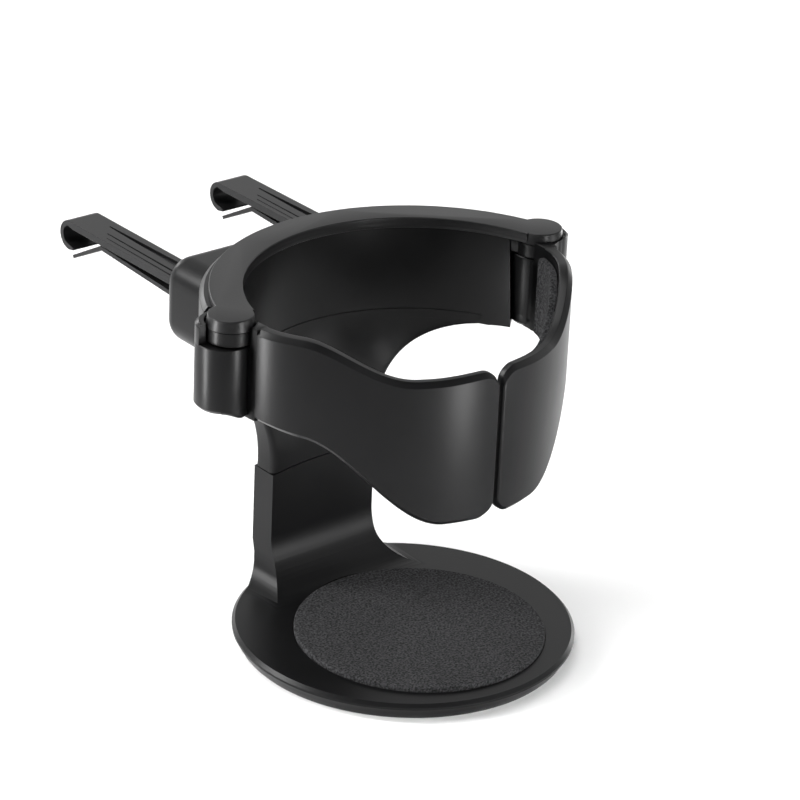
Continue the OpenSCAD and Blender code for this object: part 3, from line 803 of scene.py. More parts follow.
@dataclass
class ClampArm:
    """A clamp arm with its barrel, its sponge pad and its spring.

    Attributes:
        side: -1 for left, 1 for right.
        path: the arm's path.
        thick: thickness of the leaf at the hinge.
        taper: how much thinner the leaf is at its front.
        bevel: width of the leaf's outer bevels.
        barrel: outer radius of the barrel.
        shift: how far the barrel's outside stands off the hinge axis.
        out: direction of that, in degrees.
        barrel_low: height of the barrel's lower end.
        barrel_top: height of the ledge at the barrel's upper end.
        shell_top: height of the top of the thin shell behind the collar.
        root_clear: radius round the hinge axis that the leaf's root leaves free for the collar.
        shell_inner: inner radius of the thin shell.
        tip: rounding of the leaf's front edge.
        steps: steps along the leaf.
        spindle_bore: radius of the bore for the spindle.
        spring_bore: radius of the bore for the spring, above it.
        washer_bore: radius of the bore for the washer, below it.
        bore_floor: lower and upper height of the floor between the bores.
        skirt: depth of the skirt under the barrel.
        skirt_turn: first and last angle of the skirt.
        skirt_fades: angles between which the skirt fades out.
        pad_margin: width of the bare strip above and before the pad.
        pad_low_margin: width of the bare strip below it.
        pad_seat: gap for the glue.
        pad_deep: thickness of the pad.
    """

    side: int
    path: ArmPath = ArmPath()
    thick: float = 3.2
    taper: float = 0.7
    bevel: float = 1.1
    barrel: float = 5.95
    shift: float = 1.3
    out: float = 40.0
    barrel_low: float = 62.6
    barrel_top: float = 77.1
    shell_top: float = 81.45
    root_clear: float = 5.35
    shell_inner: float = 5.45
    tip: float = 0.7
    steps: int = 130
    spindle_bore: float = 2.26
    spring_bore: float = 3.75
    washer_bore: float = 3.65
    bore_floor: Flat = (65.0, 67.6)
    skirt: float = 1.5
    skirt_turn: Flat = (130, 322)
    skirt_fades: Flat = (262, 322)
    pad_margin: float = 2.0
    pad_low_margin: float = 1.0
    pad_seat: float = 0.15
    pad_deep: float = 1.6

    @property
    def name(self) -> str:
        """Name of the CAD body."""
        return "left_arm" if self.side < 0 else "right_arm"

    def thick_at(self, t: float) -> float:
        """Thickness of the leaf at t."""
        return self.thick - self.taper * t

    def place(self, t: float, outline: Sequence[Flat]) -> list[Point]:
        """Stands an outline of inward offset and height upright at t."""
        p, n = self.path.at(t), self.path.inward(t)
        return [(p.x + n.x * q[0], p.y + n.y * q[0], q[1]) for q in outline]

    def leaf(self, solids: Solids) -> None:
        """Adds the leaf: bevelled outer edges, softer inner ones and a rounded front edge.

        Args:
            solids: the piece to add to.
        """
        rings = []
        for t in self.path.stations(0.0, 1.0, self.steps):
            near = self.path.cut(t, self.tip)
            far = self.thick_at(t) - near / 2
            cut = self.path.cut(t, self.path.corner)
            low, top = self.path.low_at(t) + cut, self.path.top_at(t) - cut
            b = min(self.bevel, 0.4 * (far - near))
            corners = [(near + b, low), (far, low), (far, top), (near + b, top),
                       (near, top - b), (near, low + b)]
            rings.append(self.place(t, filleted(corners, (0.25, 0.5, 0.5, 0.25, 0.25, 0.25), 4)))
        solids.loft(rings)

    def root(self, solids: Solids) -> None:
        """Adds the block at the start of the leaf, hollowed round the collar, and the web to the barrel.

        Args:
            solids: the piece to add to.
        """
        first, inward = self.path.at(0.0), self.path.inward(0.0)
        along = Vector((-inward.y, inward.x)) * -1.0
        inner = first + inward * self.thick
        turns = [heading(self.meets_collar(point, along) - Vector(HINGE)) for point in (first, inner)]
        hollow = arc(HINGE, self.root_clear, *turns, 14)
        overlap = -0.5 * along
        ends = tuple(first + overlap), tuple(inner + overlap)
        solids.prism([ends[0], *hollow, ends[1]], self.path.low, self.path.top, 0.3)
        block = [ends[0], tuple(first + along * 4.0), tuple(inner + along * 5.5), ends[1]]
        solids.prism(block, self.barrel_low + 0.6, self.barrel_top - 0.3, 0.05)
        solids.prism(block, self.barrel_low - self.skirt, self.barrel_low + 1.0, 0.05)

    def meets_collar(self, start: Vector, way: Vector) -> Vector:
        """Where a straight line first meets the clear circle round the collar, in plan.

        Args:
            start: a point of the line.
            way: its direction, of unit length.

        Returns:
            The point where they meet.
        """
        to_hinge = Vector(HINGE) - start
        along = to_hinge.dot(way)
        aside = to_hinge.length_squared - along * along
        return start + way * (along - math.sqrt(max(0.0, self.root_clear**2 - aside)))

    def reach(self, angle: float) -> float:
        """Distance from the hinge axis to the barrel's outside at an angle in degrees."""
        a = math.radians(angle - self.out)
        return self.shift * math.cos(a) + math.sqrt(self.barrel**2 - (self.shift * math.sin(a)) ** 2)

    def barrel_outline(self, angle: float) -> list[Flat]:
        """Outline of the barrel, with its bores, at an angle in degrees.

        Args:
            angle: the angle about the hinge, in degrees.

        Returns:
            The closed outline of radius and height.
        """
        r, low, top = self.reach(angle), self.barrel_low, self.barrel_top
        under, over = self.bore_floor
        corners = [(self.washer_bore, low), (r - 0.9, low), (r, low + 0.9), (r, top), (self.spring_bore, top),
                   (self.spring_bore, over), (self.spindle_bore, over), (self.spindle_bore, under),
                   (self.washer_bore, under)]
        return filleted(corners, (0.2, 0.35, 0.35, 0.35, 0.2, 0.1, 0.05, 0.05, 0.1), 3)

    def shell_outline(self, angle: float) -> list[Flat]:
        """Outline of the thin shell behind the collar at an angle in degrees.

        Args:
            angle: the angle about the hinge, in degrees.

        Returns:
            The closed outline of radius and height.
        """
        r, low, top = self.reach(angle), self.barrel_top - 0.6, self.shell_top
        inner = min(self.shell_inner, r - 0.25)
        chamfer = min(0.75, 0.6 * (r - inner))
        return filleted([(inner, low), (r - 0.01, low), (r, top - chamfer), (r - chamfer, top), (inner, top)],
                        (0.02, 0.02, 0.2, 0.2, 0.1), 3)

    def skirt_outline(self, angle: float) -> list[Flat]:
        """Outline of the short skirt under the barrel's inner side at an angle in degrees.

        Args:
            angle: the angle about the hinge, in degrees.

        Returns:
            The closed outline of radius and height.
        """
        depth = self.skirt * (1 - ArmPath.eased(angle, *self.skirt_fades))
        r, low, bore = self.reach(angle) - 0.01, self.barrel_low - depth, self.washer_bore
        return filleted([(bore, low), (r - 0.7, low), (r, low + 0.7), (r, low + 3.0), (bore, low + 3.0)],
                        (0.1, 0.25, 0.25, 0.02, 0.02), 3)

    def fill(self, solids: Solids) -> None:
        """Adds the corner between the right leaf's root and the thin wall round its collar.

        Args:
            solids: the piece to add to.
        """
        first, last = -50, -113
        start, inward = self.path.at(0.0), self.path.inward(0.0)
        a = math.radians(first)
        end = Vector(HINGE) + Vector((math.cos(a), math.sin(a))) * (self.barrel - 0.25)
        outer = [start + inward * 1.87, start + inward * 0.4, start + Vector((1.2, 0.9)), end]
        flat = [(v.x, v.y) for v in outer] + arc(HINGE, self.shell_inner, first, last, 12)
        solids.loft([[(x, y, z) for x, y in flat] for z in (self.barrel_top - 0.2, self.path.top - 0.12)])

    def hub(self, solids: Solids) -> None:
        """Adds the barrel with its bores, the thin wall behind the collar and the short skirt.

        Args:
            solids: the piece to add to.
        """
        solids.sector(HINGE, self.barrel_outline, (0, 360), 120)
        solids.sector(HINGE, self.shell_outline, (12, 79) if self.side < 0 else (-66, 8), 32)
        solids.sector(HINGE, self.skirt_outline, self.skirt_turn, 64)
        if self.side > 0:
            self.fill(solids)

    def build(self, materials: Materials) -> None:
        """Builds the arm, its pad and its spring.

        Args:
            materials: the built materials.
        """
        solids = Solids()
        self.leaf(solids)
        self.root(solids)
        self.hub(solids)
        made = solids.mirrored(self.side).piece(f"{self.name}_leaf")
        enter(made, self.name, Slot.BLACK, materials, self.name)
        self.pad(materials)
        self.spring(materials)

    def pad(self, materials: Materials) -> None:
        """Builds the sponge pad glued to the leaf's inner face.

        Args:
            materials: the built materials.
        """
        leaf_length, mesh_step = 52, 0.35
        rings = []
        for t in self.path.stations(0.03, 1 - (self.pad_margin + 1) / leaf_length, self.steps):
            cut = self.path.cut(t, self.path.corner, self.pad_margin)
            near = self.thick_at(t) + self.pad_seat
            far = near + self.pad_deep
            low = self.path.low_at(t) + self.pad_low_margin + cut
            top = self.path.top_at(t) - self.pad_margin - cut
            outline = filleted([(near, low), (far, low), (far, top), (near, top)], (0.1, 0.5, 0.5, 0.1), 4)
            rings.append(dense(self.place(t, outline), mesh_step))
        count = max(len(ring) for ring in rings)
        solids = Solids().loft([resample(ring, count) for ring in rings])
        made = solids.mirrored(self.side).piece(f"{self.name}_sponge", PAD_SHARP)
        made = SpongeSurface().grow(made, materials[Slot.SPONGE])
        enter(made, f"{self.name}_pad", Slot.SPONGE, materials, self.name)

    def spring(self, materials: Materials) -> None:
        """Builds the torsion spring round the spindle.

        Args:
            materials: the built materials.
        """
        coil = CoilSpring((HINGE[0] * self.side, HINGE[1]), self.side)
        made = coil.build(f"{self.name}_coil", materials[Slot.STEEL])
        enter(made, f"{self.name}_spring", Slot.STEEL, materials, self.name)


@dataclass(frozen=True)
class TopCover:
    """The flat C-shaped cover with its round ends and its skirt, in millimetres.

    Attributes:
        inner: inner radius of the plate.
        outer: outer radius of the plate.
        cap: radius of the round ends at their lower edge.
        low: height of the plate's underside.
        top: height of its top.
        cap_low: height of the lower edge of the round ends.
        cap_taper: how much narrower the round ends are at the top.
        skirt_low: height of the skirt's lower edge.
        skirt_outer: outer radius of the skirt.
        edge: rounding of the top edge.
    """

    inner: float = 38.1
    outer: float = 45.2
    cap: float = 5.15
    low: float = 81.6
    top: float = 83.0
    cap_low: float = 80.5
    cap_taper: float = 0.4
    skirt_low: float = 80.6
    skirt_outer: float = 38.85
    edge: float = 0.25

    def cap_at(self, height: float) -> float:
        """Radius of a round end at a height."""
        return self.cap - self.cap_taper * (height - self.cap_low) / (self.top - self.cap_low)

    def meeting(self, radius: float, cap: float) -> tuple[float, float]:
        """Where the plate's outer arc meets the right round end.

        Args:
            radius: radius of the arc about the ring's middle.
            cap: radius of the round end.

        Returns:
            Its angle about the ring's middle and about the hinge, both in degrees.
        """
        span = HINGE_WAY.length
        along = (radius**2 - cap**2 + span**2) / (2 * span)
        across = math.sqrt(radius**2 - along**2)
        unit = HINGE_WAY.normalized()
        point = Vector(RING_CENTRE) + unit * along + Vector((-unit.y, unit.x)) * across
        return heading(point - Vector(RING_CENTRE)), heading(point - Vector(HINGE))

    def loop(self, height: float, inset: float) -> list[Point]:
        """The cover's outline at a height, drawn in by an inset.

        Args:
            height: the height.
            inset: how far it is drawn in.

        Returns:
            The outline's points.
        """
        cap = self.cap_at(height) - inset
        outer, inner = self.outer - inset, self.inner + inset
        outer_turn, outer_cap = self.meeting(outer, cap)
        right = arc(HINGE, cap, HINGE_TURN - 180, outer_cap, 56)
        left = [(-x, y) for x, y in reversed(right)]
        flat = [*arc(RING_CENTRE, outer, outer_turn, 180 - outer_turn, 120), *left,
                *arc(RING_CENTRE, inner, 180 - HINGE_TURN, HINGE_TURN, 120), *right]
        return [(x, y, height) for x, y in flat]

    def build(self, materials: Materials) -> None:
        """Builds the cover.

        Args:
            materials: the built materials.
        """
        rounds = [math.radians(90 * i / 5) for i in range(6)]
        levels = [(self.low, 0.0)]
        levels += [(self.top - self.edge * (1 - math.sin(a)), self.edge * (1 - math.cos(a))) for a in rounds]
        solids = Solids().loft([self.loop(height, inset) for height, inset in levels])
        low, up, chamfer = self.cap_low, self.low, 0.12
        wide = self.cap_at(low)
        cone = [(0, low), (wide - chamfer, low), (wide, low + chamfer), (self.cap_at(up), up), (0, up)]
        skirt = filleted([(self.inner, self.skirt_low), (self.skirt_outer, self.skirt_low),
                          (self.skirt_outer, up), (self.inner, up)], (0.2, 0.1, 0.01, 0.01), 3)
        solids.sector(RING_CENTRE, lambda angle: skirt, (HINGE_TURN, 180 - HINGE_TURN), 120)
        for side in (-1, 1):
            solids.lathe((HINGE[0] * side, HINGE[1]), cone)
        enter(solids.piece("cover"), "top_cover", Slot.SATIN, materials)


@dataclass(frozen=True)
class RingBody:
    """The C-shaped ring with its collars, its spindles and the upper part of the post, in millimetres.

    Attributes:
        inner: radius of the inner wall at its top.
        lean: how far the inner wall leans in at its foot.
        outer: outer radius.
        low: height of the ring's underside.
        top: height of its top, under the cover.
        clear: radius about the hinge that the wall's ends leave free, at the inner and the outer wall.
        post_half: half the width of the post.
        post_front: front of the post at the seam.
        post_back: back of the post.
        arch: radius of the arches between the post and the ring.
        swell: radius of the curve at the post's back.
        seam: height of the seam at the post's sides.
        seam_rise: how much higher the seam is in the middle.
        collar: radius of the collars.
        blend: height below the ring over which the post's front merges into the inner wall.
        collar_low: height of the collars' lower face.
        collar_top: height of their upper face.
        spindle: radius and lower end of the spindles.
        web: inner and outer radius of the webs that hold the collars, about the ring's middle.
        web_low: height of their lower face.
        web_turn: angle that they take up, in degrees.
        tongue: width, depth and height of the tongue that enters the lower post, lowest and highest of each.
    """

    inner: float = 38.9
    lean: float = 1.4
    outer: float = 47.1
    low: float = 61.5
    top: float = 81.6
    clear: Flat = (6.3, 7.7)
    post_half: float = 14.0
    post_front: float = 29.2
    post_back: float = 35.8
    arch: float = 28.5
    swell: float = 16.0
    seam: float = 30.85
    seam_rise: float = 1.2
    collar: float = 5.0
    blend: float = 26.0
    collar_low: float = 77.4
    collar_top: float = 80.45
    spindle: Flat = (2.2, 64.9)
    web: Flat = (39.05, 41.7)
    web_low: float = 77.6
    web_turn: float = 13
    tongue: tuple[Flat, Flat, Flat] = ((-9.5, 9.5), (31.2, 33.8), (17.6, 34.0))

    @property
    def foot(self) -> float:
        """Radius of the inner wall at its foot."""
        return self.inner - self.lean

    def start(self, radius: float) -> float:
        """Direction from the ring's middle at which the wall begins at a radius, in degrees.

        Args:
            radius: radius about the ring's middle.

        Returns:
            The direction.
        """
        share = (radius - self.inner + self.lean) / (self.outer - self.inner + self.lean)
        free = self.clear[0] + (self.clear[1] - self.clear[0]) * share
        along = (radius**2 - free**2 + HINGE_WAY.length_squared) / (2 * HINGE_WAY.length)
        return math.degrees(math.atan2(HINGE_WAY.y, HINGE_WAY.x) + math.acos(min(1.0, along / radius)))

    def wall(self, solids: Solids) -> None:
        """Adds the C-shaped wall, with hollow ends round the barrels.

        Args:
            solids: the piece to add to.
        """
        steps, lean_top, upper_edge, lower_edge = 160, 80.6, 0.95, 0.8
        corners = [(self.foot, self.low), (self.inner, lean_top), (self.inner, self.top),
                   (self.outer - upper_edge, self.top), (self.outer, self.top - upper_edge),
                   (self.outer, self.low + lower_edge), (self.outer - lower_edge, self.low)]
        outline = filleted(corners, (0.02, 0.5, 0.1, 0.15, 0.15, 0.2, 0.2), 3)
        rings = []
        for i in range(steps + 1):
            ring = []
            for radius, height in outline:
                first = self.start(radius)
                x, y = polar(RING_CENTRE, radius, math.radians(first + (180 - 2 * first) * i / steps))
                ring.append((x, y, height - self.droop(x) if height < self.low + 2 else height))
            rings.append(ring)
        solids.loft(rings)

    def droop(self, x: float) -> float:
        """How far the ring's lower edge runs down into the arches, outside the post."""
        aside = max(0.0, self.post_half + self.arch - max(abs(x), self.foot - 4.6))
        return self.arch - math.sqrt(self.arch**2 - aside * aside)

    def half_width(self, height: float) -> float:
        """Half the width of the post and its arches at a height.

        Args:
            height: the height.

        Returns:
            Half the width.
        """
        rise = height - (self.low - self.arch)
        flare = self.arch - math.sqrt(self.arch**2 - rise * rise) if rise > 0 else 0.0
        return min(self.post_half + flare, self.foot - 4.5)

    def front(self, x: float, height: float) -> float:
        """Front of the post, which merges softly into the ring's inner wall.

        Args:
            x: place across the post.
            height: the height.

        Returns:
            The Y of the front face.
        """
        wall = RING_CENTRE[1] + math.sqrt(self.foot**2 - x * x)
        share = max(0.0, min(1.0, (self.low - height) / self.blend))
        share = share * share * (3 - 2 * share)
        return wall * (1 - share) + self.post_front * share

    def back(self, x: float, height: float) -> float:
        """Back of the post, which swells out to the ring's outer wall.

        Args:
            x: place across the post.
            height: the height.

        Returns:
            The Y of the back face.
        """
        rise = height - (self.low - self.swell + 1.0)
        plane = self.post_back + (self.swell - math.sqrt(self.swell**2 - rise * rise) if rise > 0 else 0.0)
        return min(plane, RING_CENTRE[1] + math.sqrt((self.outer - 0.3) ** 2 - x * x))

    def post(self, solids: Solids) -> None:
        """Adds the upper post: arches to both sides, a swelling back and an arched lower end.

        Args:
            solids: the piece to add to.
        """
        steps, half, corner = 44, 26, 1.5
        rings = []
        for i in range(steps + 1):
            level = self.seam + (self.low + 0.4 - self.seam) * i / steps
            width = self.half_width(min(level, self.low - 0.15))
            lift = self.seam_rise * (1 - i / steps) ** 3
            across = [width * math.sin(math.pi / 2 * k / half) for k in range(-half, half + 1)]
            faces: list[list[Point]] = [[], []]
            for x in across:
                aside = max(0.0, (abs(x) - width + corner) / corner)
                tuck = corner * (1 - math.sqrt(max(0.0, 1 - min(1.0, aside) ** 2)))
                height = level + lift * (1 - (x / width) ** 2)
                faces[0].append((x, self.front(x, level) + tuck, height))
                faces[1].append((x, self.back(x, level) - tuck, height))
            rings.append([*faces[0], *reversed(faces[1])])
        solids.loft(rings)

    def hinges(self, solids: Solids) -> None:
        """Adds the collars, the spindles and the webs that hold them.

        Args:
            solids: the piece to add to.
        """
        low, up, wide = self.collar_low, self.collar_top, self.collar
        collar = [(0.0, low), (wide - 0.15, low), (wide, low + 0.15), (wide - 0.02, up - 0.12),
                  (wide - 0.14, up), (0.0, up)]
        thin, end, root = *self.spindle, low + 0.5
        spindle = [(0.0, end), (thin, end), (thin, root), (0.0, root)]
        (near, far), foot = self.web, self.web_low
        web = filleted([(near, foot), (far, foot), (far, up), (near, up)], 0.1, 2)
        for side in (-1, 1):
            place = (HINGE[0] * side, HINGE[1])
            solids.lathe(place, collar).lathe(place, spindle, 48)
            first = HINGE_TURN if side > 0 else 180 - HINGE_TURN - self.web_turn
            solids.sector(RING_CENTRE, lambda angle: web, (first, first + self.web_turn), 16)

    def build(self, materials: Materials) -> None:
        """Builds the ring body, with the tongue that enters the lower post.

        Args:
            materials: the built materials.
        """
        solids = Solids()
        self.wall(solids)
        self.post(solids)
        self.hinges(solids)
        (left, right), (front, back), (low, top) = self.tongue
        solids.prism([(left, front), (right, front), (right, back), (left, back)], low, top, 0.2)
        enter(solids.piece("ring"), "ring_body", Slot.BLACK, materials)


@dataclass(frozen=True)
class ClipHousing:
    """The rounded block on the ring's back with the recess for its plate, in millimetres.

    Attributes:
        half: half its width.
        low: height of its underside.
        top: height of its top.
        back: its back face.
        front: radius about the ring's middle at which its front ends, inside the ring's wall.
        long_edge: radius of the edges that run front to back.
        back_edge: rounding of the back face's edges.
        rim: width of the rim round the plate.
        recess: depth of the recess for the plate.
    """

    half: float = 29.0
    low: float = 58.6
    top: float = 78.0
    back: float = 50.5
    front: float = 46.3
    long_edge: float = 5.6
    back_edge: float = 4.2
    rim: float = 2.55
    recess: float = 2.4

    def outline(self, inset: float, radius: float) -> list[Flat]:
        """Outline across the block, drawn in by an inset."""
        width = -self.half + inset, self.half - inset
        return rounded(width, (self.low + inset, self.top - inset), radius, 10)

    def build(self, materials: Materials) -> None:
        """Builds the block.

        Args:
            materials: the built materials.
        """
        body = self.outline(0.0, self.long_edge)
        middle = (self.low + self.top) / 2
        rings = [[(x, RING_CENTRE[1] + math.sqrt(self.front**2 - x * x), middle + (z - middle) * share)
                  for x, z in body] for share in (0.0, 1.0)]
        flat_rim, steps = 0.3, 8
        last = math.acos(1 - (self.rim - flat_rim) / self.back_edge)
        for k in range(steps + 1):
            a = last * k / steps
            inset = self.back_edge * (1 - math.cos(a))
            y = self.back - self.back_edge * (1 - math.sin(a))
            rings.append([(x, y, z) for x, z in self.outline(inset, self.long_edge - inset)])
        opening = self.outline(self.rim, self.long_edge - self.rim)
        for y in (rings[-1][0][1] + 0.1, self.back - self.recess):
            rings.append([(x, y, z) for x, z in opening])
        made = Solids().loft(rings, folded=True).piece("housing_block")
        enter(made, "clip_housing", Slot.BLACK, materials)


def dense(ring: Sequence[Point], step: float) -> list[Point]:
    """Adds points along a closed ring so that none of its steps is longer than a limit.

    Args:
        ring: the ring's points.
        step: longest step.

    Returns:
        The denser ring.
    """
    out: list[Point] = []
    for a, b in zip(ring, [*ring[1:], ring[0]]):
        va, vb = Vector(a), Vector(b)
        count = max(1, math.ceil((vb - va).length / step))
        out.extend(tuple(va.lerp(vb, i / count)) for i in range(count))
    return out


def resample(ring: Sequence[Point], count: int) -> list[Point]:
    """Spreads a number of points evenly along a closed ring, from its first point.

    Args:
        ring: the ring's points.
        count: number of points wanted.

    Returns:
        The new ring.
    """
    closed = [Vector(p) for p in (*ring, ring[0])]
    lengths = [0.0]
    for a, b in zip(closed, closed[1:]):
        lengths.append(lengths[-1] + (b - a).length)
    out, k = [], 0
    for i in range(count):
        want = lengths[-1] * i / count
        while lengths[k + 1] < want:
            k += 1
        share = (want - lengths[k]) / max(1e-9, lengths[k + 1] - lengths[k])
        out.append(tuple(closed[k].lerp(closed[k + 1], share)))
    return out


class GeometryRule:
    """A Geometry Nodes group with named inputs, run once and turned into a plain mesh."""

    def __init__(self, name: str) -> None:
        """Makes an empty group.

        Args:
            name: name of the group.
        """
        self.group = bpy.data.node_groups.new(name, "GeometryNodeTree")
        self.tree = Tree(self.group)
        self.values: dict[str, Any] = {}
        for way in ("INPUT", "OUTPUT"):
            self.group.interface.new_socket("Geometry", in_out=way, socket_type="NodeSocketGeometry")
        self.source = self.tree.node("NodeGroupInput")

    def input(self, name: str, value: Any, kind: str = "NodeSocketFloat") -> Field:
        """Adds a named input.

        Args:
            name: its name.
            value: what it is when the group runs.
            kind: its socket type.

        Returns:
            The input inside the group.
        """
        made = self.group.interface.new_socket(name, in_out="INPUT", socket_type=kind)
        self.values[made.identifier] = value
        return Field(self.tree, self.source.outputs[name])

    def run(
        self, base: bpy.types.Object, last: bpy.types.Node, material: bpy.types.Material
    ) -> bpy.types.Object:
        """Ends the group, runs it on an object and keeps the result as the object's plain mesh.

        Args:
            base: the object; its mesh is replaced.
            last: the node that has made the geometry.
            material: the material it gets.

        Returns:
            The same object.
        """
        real = self.tree.node("GeometryNodeRealizeInstances", {"Geometry": last.outputs[0]})
        ready = self.tree.node("GeometryNodeSetMaterial", {"Geometry": real.outputs[0], "Material": material})
        self.tree.node("NodeGroupOutput", {"Geometry": ready.outputs[0]})
        modifier = base.modifiers.new(self.group.name, "NODES")
        modifier.node_group = self.group
        for identifier, value in self.values.items():
            modifier[identifier] = value
        bpy.context.view_layer.update()
        graph = bpy.context.evaluated_depsgraph_get()
        result = bpy.data.meshes.new_from_object(base.evaluated_get(graph), depsgraph=graph)
        base.modifiers.remove(modifier)
        base.data = result
        return base


@dataclass(frozen=True)
class SpongeSurface:
    """The uneven skin of a sponge pad.

    Attributes:
        grain: size of the lumps.
        depth: how far the lumps stand in or out.
        seed: seed of the pattern.
        level: noise at which the skin stays where it is.
    """

    grain: float = 0.9 * MM
    depth: float = 0.05 * MM
    seed: float = 7.0
    level: float = 0.62

    def grow(self, base: bpy.types.Object, material: bpy.types.Material) -> bpy.types.Object:
        """Roughens a smooth pad.

        Args:
            base: the smooth pad.
            material: its material.

        Returns:
            The pad.
        """
        rule = GeometryRule(f"{base.name}_skin")
        tree, source = rule.tree, rule.source
        values = {"Grain": self.grain, "Depth": self.depth, "Seed": self.seed}
        grain, depth, seed = (rule.input(name, value) for name, value in values.items())
        place = tree.field("GeometryNodeInputPosition")
        inputs = {"Vector": place, "W": seed, "Scale": NOISE_LUMP / grain, "Detail": 2.0}
        lumps = tree.field("ShaderNodeTexNoise", inputs, noise_dimensions="4D")
        push = (lumps - self.level) * depth * 2
        normal = tree.field("GeometryNodeInputNormal")
        offset = tree.node("ShaderNodeVectorMath", {0: normal}, operation="SCALE")
        tree.feed(offset.inputs["Scale"], push)
        inputs = {"Geometry": source.outputs["Geometry"], "Offset": offset.outputs[0]}
        return rule.run(base, tree.node("GeometryNodeSetPosition", inputs), material)


@dataclass(frozen=True)
class CoilSpring:
    """A wire wound round an upright axis.

    Attributes:
        centre: the axis in plan, in millimetres.
        hand: 1 or -1 for the way it winds.
        radius: radius of the coil.
        wire: radius of the wire.
        low: lowest point.
        high: highest point.
        turns: number of turns.
    """

    centre: Flat
    hand: int
    radius: float = 2.975
    wire: float = 0.35
    low: float = 67.8
    high: float = 77.2
    turns: int = 5

    def build(self, name: str, material: bpy.types.Material) -> bpy.types.Object:
        """Builds the spring.

        Args:
            name: name of the object.
            material: its material.

        Returns:
            The spring's object.
        """
        rule = GeometryRule(f"{name}_rule")
        tree, low, high = rule.tree, self.low + self.wire, self.high - self.wire
        values = {"Turns": float(self.turns), "Radius": self.radius * MM, "Wire": self.wire * MM,
                  "Height": (high - low) * MM}
        turns, radius, wire, height = (rule.input(name, value) for name, value in values.items())
        foot = (self.centre[0] * MM, self.centre[1] * MM, low * MM)
        middle = rule.input("Middle", foot, "NodeSocketVector")
        inputs = {"Resolution": 32, "Rotations": turns, "Start Radius": radius, "End Radius": radius,
                  "Height": height}
        spiral = tree.node("GeometryNodeCurveSpiral", inputs)
        if self.hand < 0:
            spiral.inputs["Reverse"].default_value = True
        ring = tree.node("GeometryNodeCurvePrimitiveCircle", {"Resolution": 10, "Radius": wire})
        tube = tree.node("GeometryNodeCurveToMesh",
                         {"Curve": spiral.outputs[0], "Profile Curve": ring.outputs[0], "Fill Caps": True})
        moved = tree.node("GeometryNodeTransform", {"Geometry": tube.outputs[0], "Translation": middle})
        base = bpy.data.objects.new(name, bpy.data.meshes.new(name))
        bpy.context.scene.collection.objects.link(base)
        made = rule.run(base, moved, material)
        smooth(made.data, 60)
        return made


@dataclass
class BasePad:
    """The round sponge pad in the base.

    Attributes:
        centre: its middle in plan.
        radius: its radius.
        low: height of its underside.
        high: height of its top.
        edge: rounding of its rim.
    """

    centre: Flat = (0.0, -5.4)
    radius: float = 27.0
    low: float = 3.2
    high: float = 5.0
    edge: float = 0.4

    def build(self, materials: Materials) -> None:
        """Builds the pad from rings that are fine enough for the grain.

        Args:
            materials: the built materials.
        """
        step = 0.3
        rings = int(self.radius / step)
        outline: list[Flat] = [(0.0, self.low), (self.radius, self.low)]
        outline += arc((self.radius - self.edge, self.high - self.edge), self.edge, 0, 90, 5)
        outline += [(self.radius * (rings - i) / rings, self.high) for i in range(2, rings)]
        outline += [(0.0, self.high)]
        made = Solids().lathe(self.centre, outline, 360).piece("base_sponge", PAD_SHARP)
        made = SpongeSurface(seed=3.0).grow(made, materials[Slot.SPONGE])
        enter(made, "base_pad", Slot.SPONGE, materials)


@dataclass(frozen=True)
class Carried:
    """A CAD node that is shown as it is, with softened edges.

    Attributes:
        node: its name.
        slot: its material slot.
        width: width of the softened edges, in millimetres.
        angle: edges that turn more than this many degrees are softened.
        flat: faces that turn less than this many degrees are merged.
    """

    node: str
    slot: Slot
    width: float = 0.25
    angle: float = 28.0
    flat: float = 0.02

    def dress(self, materials: Materials) -> None:
        """Adds the modifiers and the finish; the node's own vertices stay as they are.

        Args:
            materials: the built materials.
        """
        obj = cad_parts[self.node]
        obj.data.materials.clear()
        obj.data.materials.append(materials[self.slot])
        obj.data.polygons.foreach_set("use_smooth", [True] * len(obj.data.polygons))
        weld = obj.modifiers.new("weld", "WELD")
        weld.merge_threshold = 1e-6
        merge = obj.modifiers.new("merge_flat", "DECIMATE")
        merge.decimate_type = "DISSOLVE"
        merge.angle_limit = math.radians(self.flat)
        bevel = obj.modifiers.new("soft_edges", "BEVEL")
        bevel.width = self.width * MM
        bevel.segments = 3
        bevel.limit_method = "ANGLE"
        bevel.angle_limit = math.radians(self.angle)
        weighted = obj.modifiers.new("even_normals", "WEIGHTED_NORMAL")
        weighted.weight = 60
        weighted.keep_sharp = True


CARRIED = (
    *(Carried(f"{side}_hinge_washer", Slot.STEEL, 0.08) for side in ("left", "right")),
    *(Carried(f"{side}_hinge_screw", Slot.STEEL, 0.06) for side in ("left", "right")),
    Carried("housing_plate", Slot.BLACK, 0.1),
    Carried("housing_screws", Slot.STEEL, 0.06),
    *(Carried(f"{side}_vent_clip", Slot.SATIN, 0.15) for side in ("left", "right")),
    Carried("base_bracket", Slot.BLACK),
    Carried("bracket_screws", Slot.STEEL, 0.06),
)


# Studio


@dataclass(frozen=True)
class Softbox:
    """A soft studio lamp that looks at the object.

    Attributes:
        name: its name.
        place: where it stands.
        size: its width and height.
        power: its power in watts.
        aim: what it looks at.
    """

    name: str
    place: Point
    size: Flat
    power: float
    aim: Point = (0.0, 0.0, 0.06)

    def build(self) -> None:
        """Sets up the lamp."""
        data = bpy.data.lights.new(self.name, "AREA")
        data.shape = "RECTANGLE"
        data.size, data.size_y = self.size
        data.energy = self.power
        lamp = bpy.data.objects.new(self.name, data)
        lamp.location = self.place
        lamp.rotation_euler = (Vector(self.aim) - Vector(self.place)).to_track_quat("-Z", "Y").to_euler()
        lamp.visible_camera = False
        bpy.context.scene.collection.objects.link(lamp)


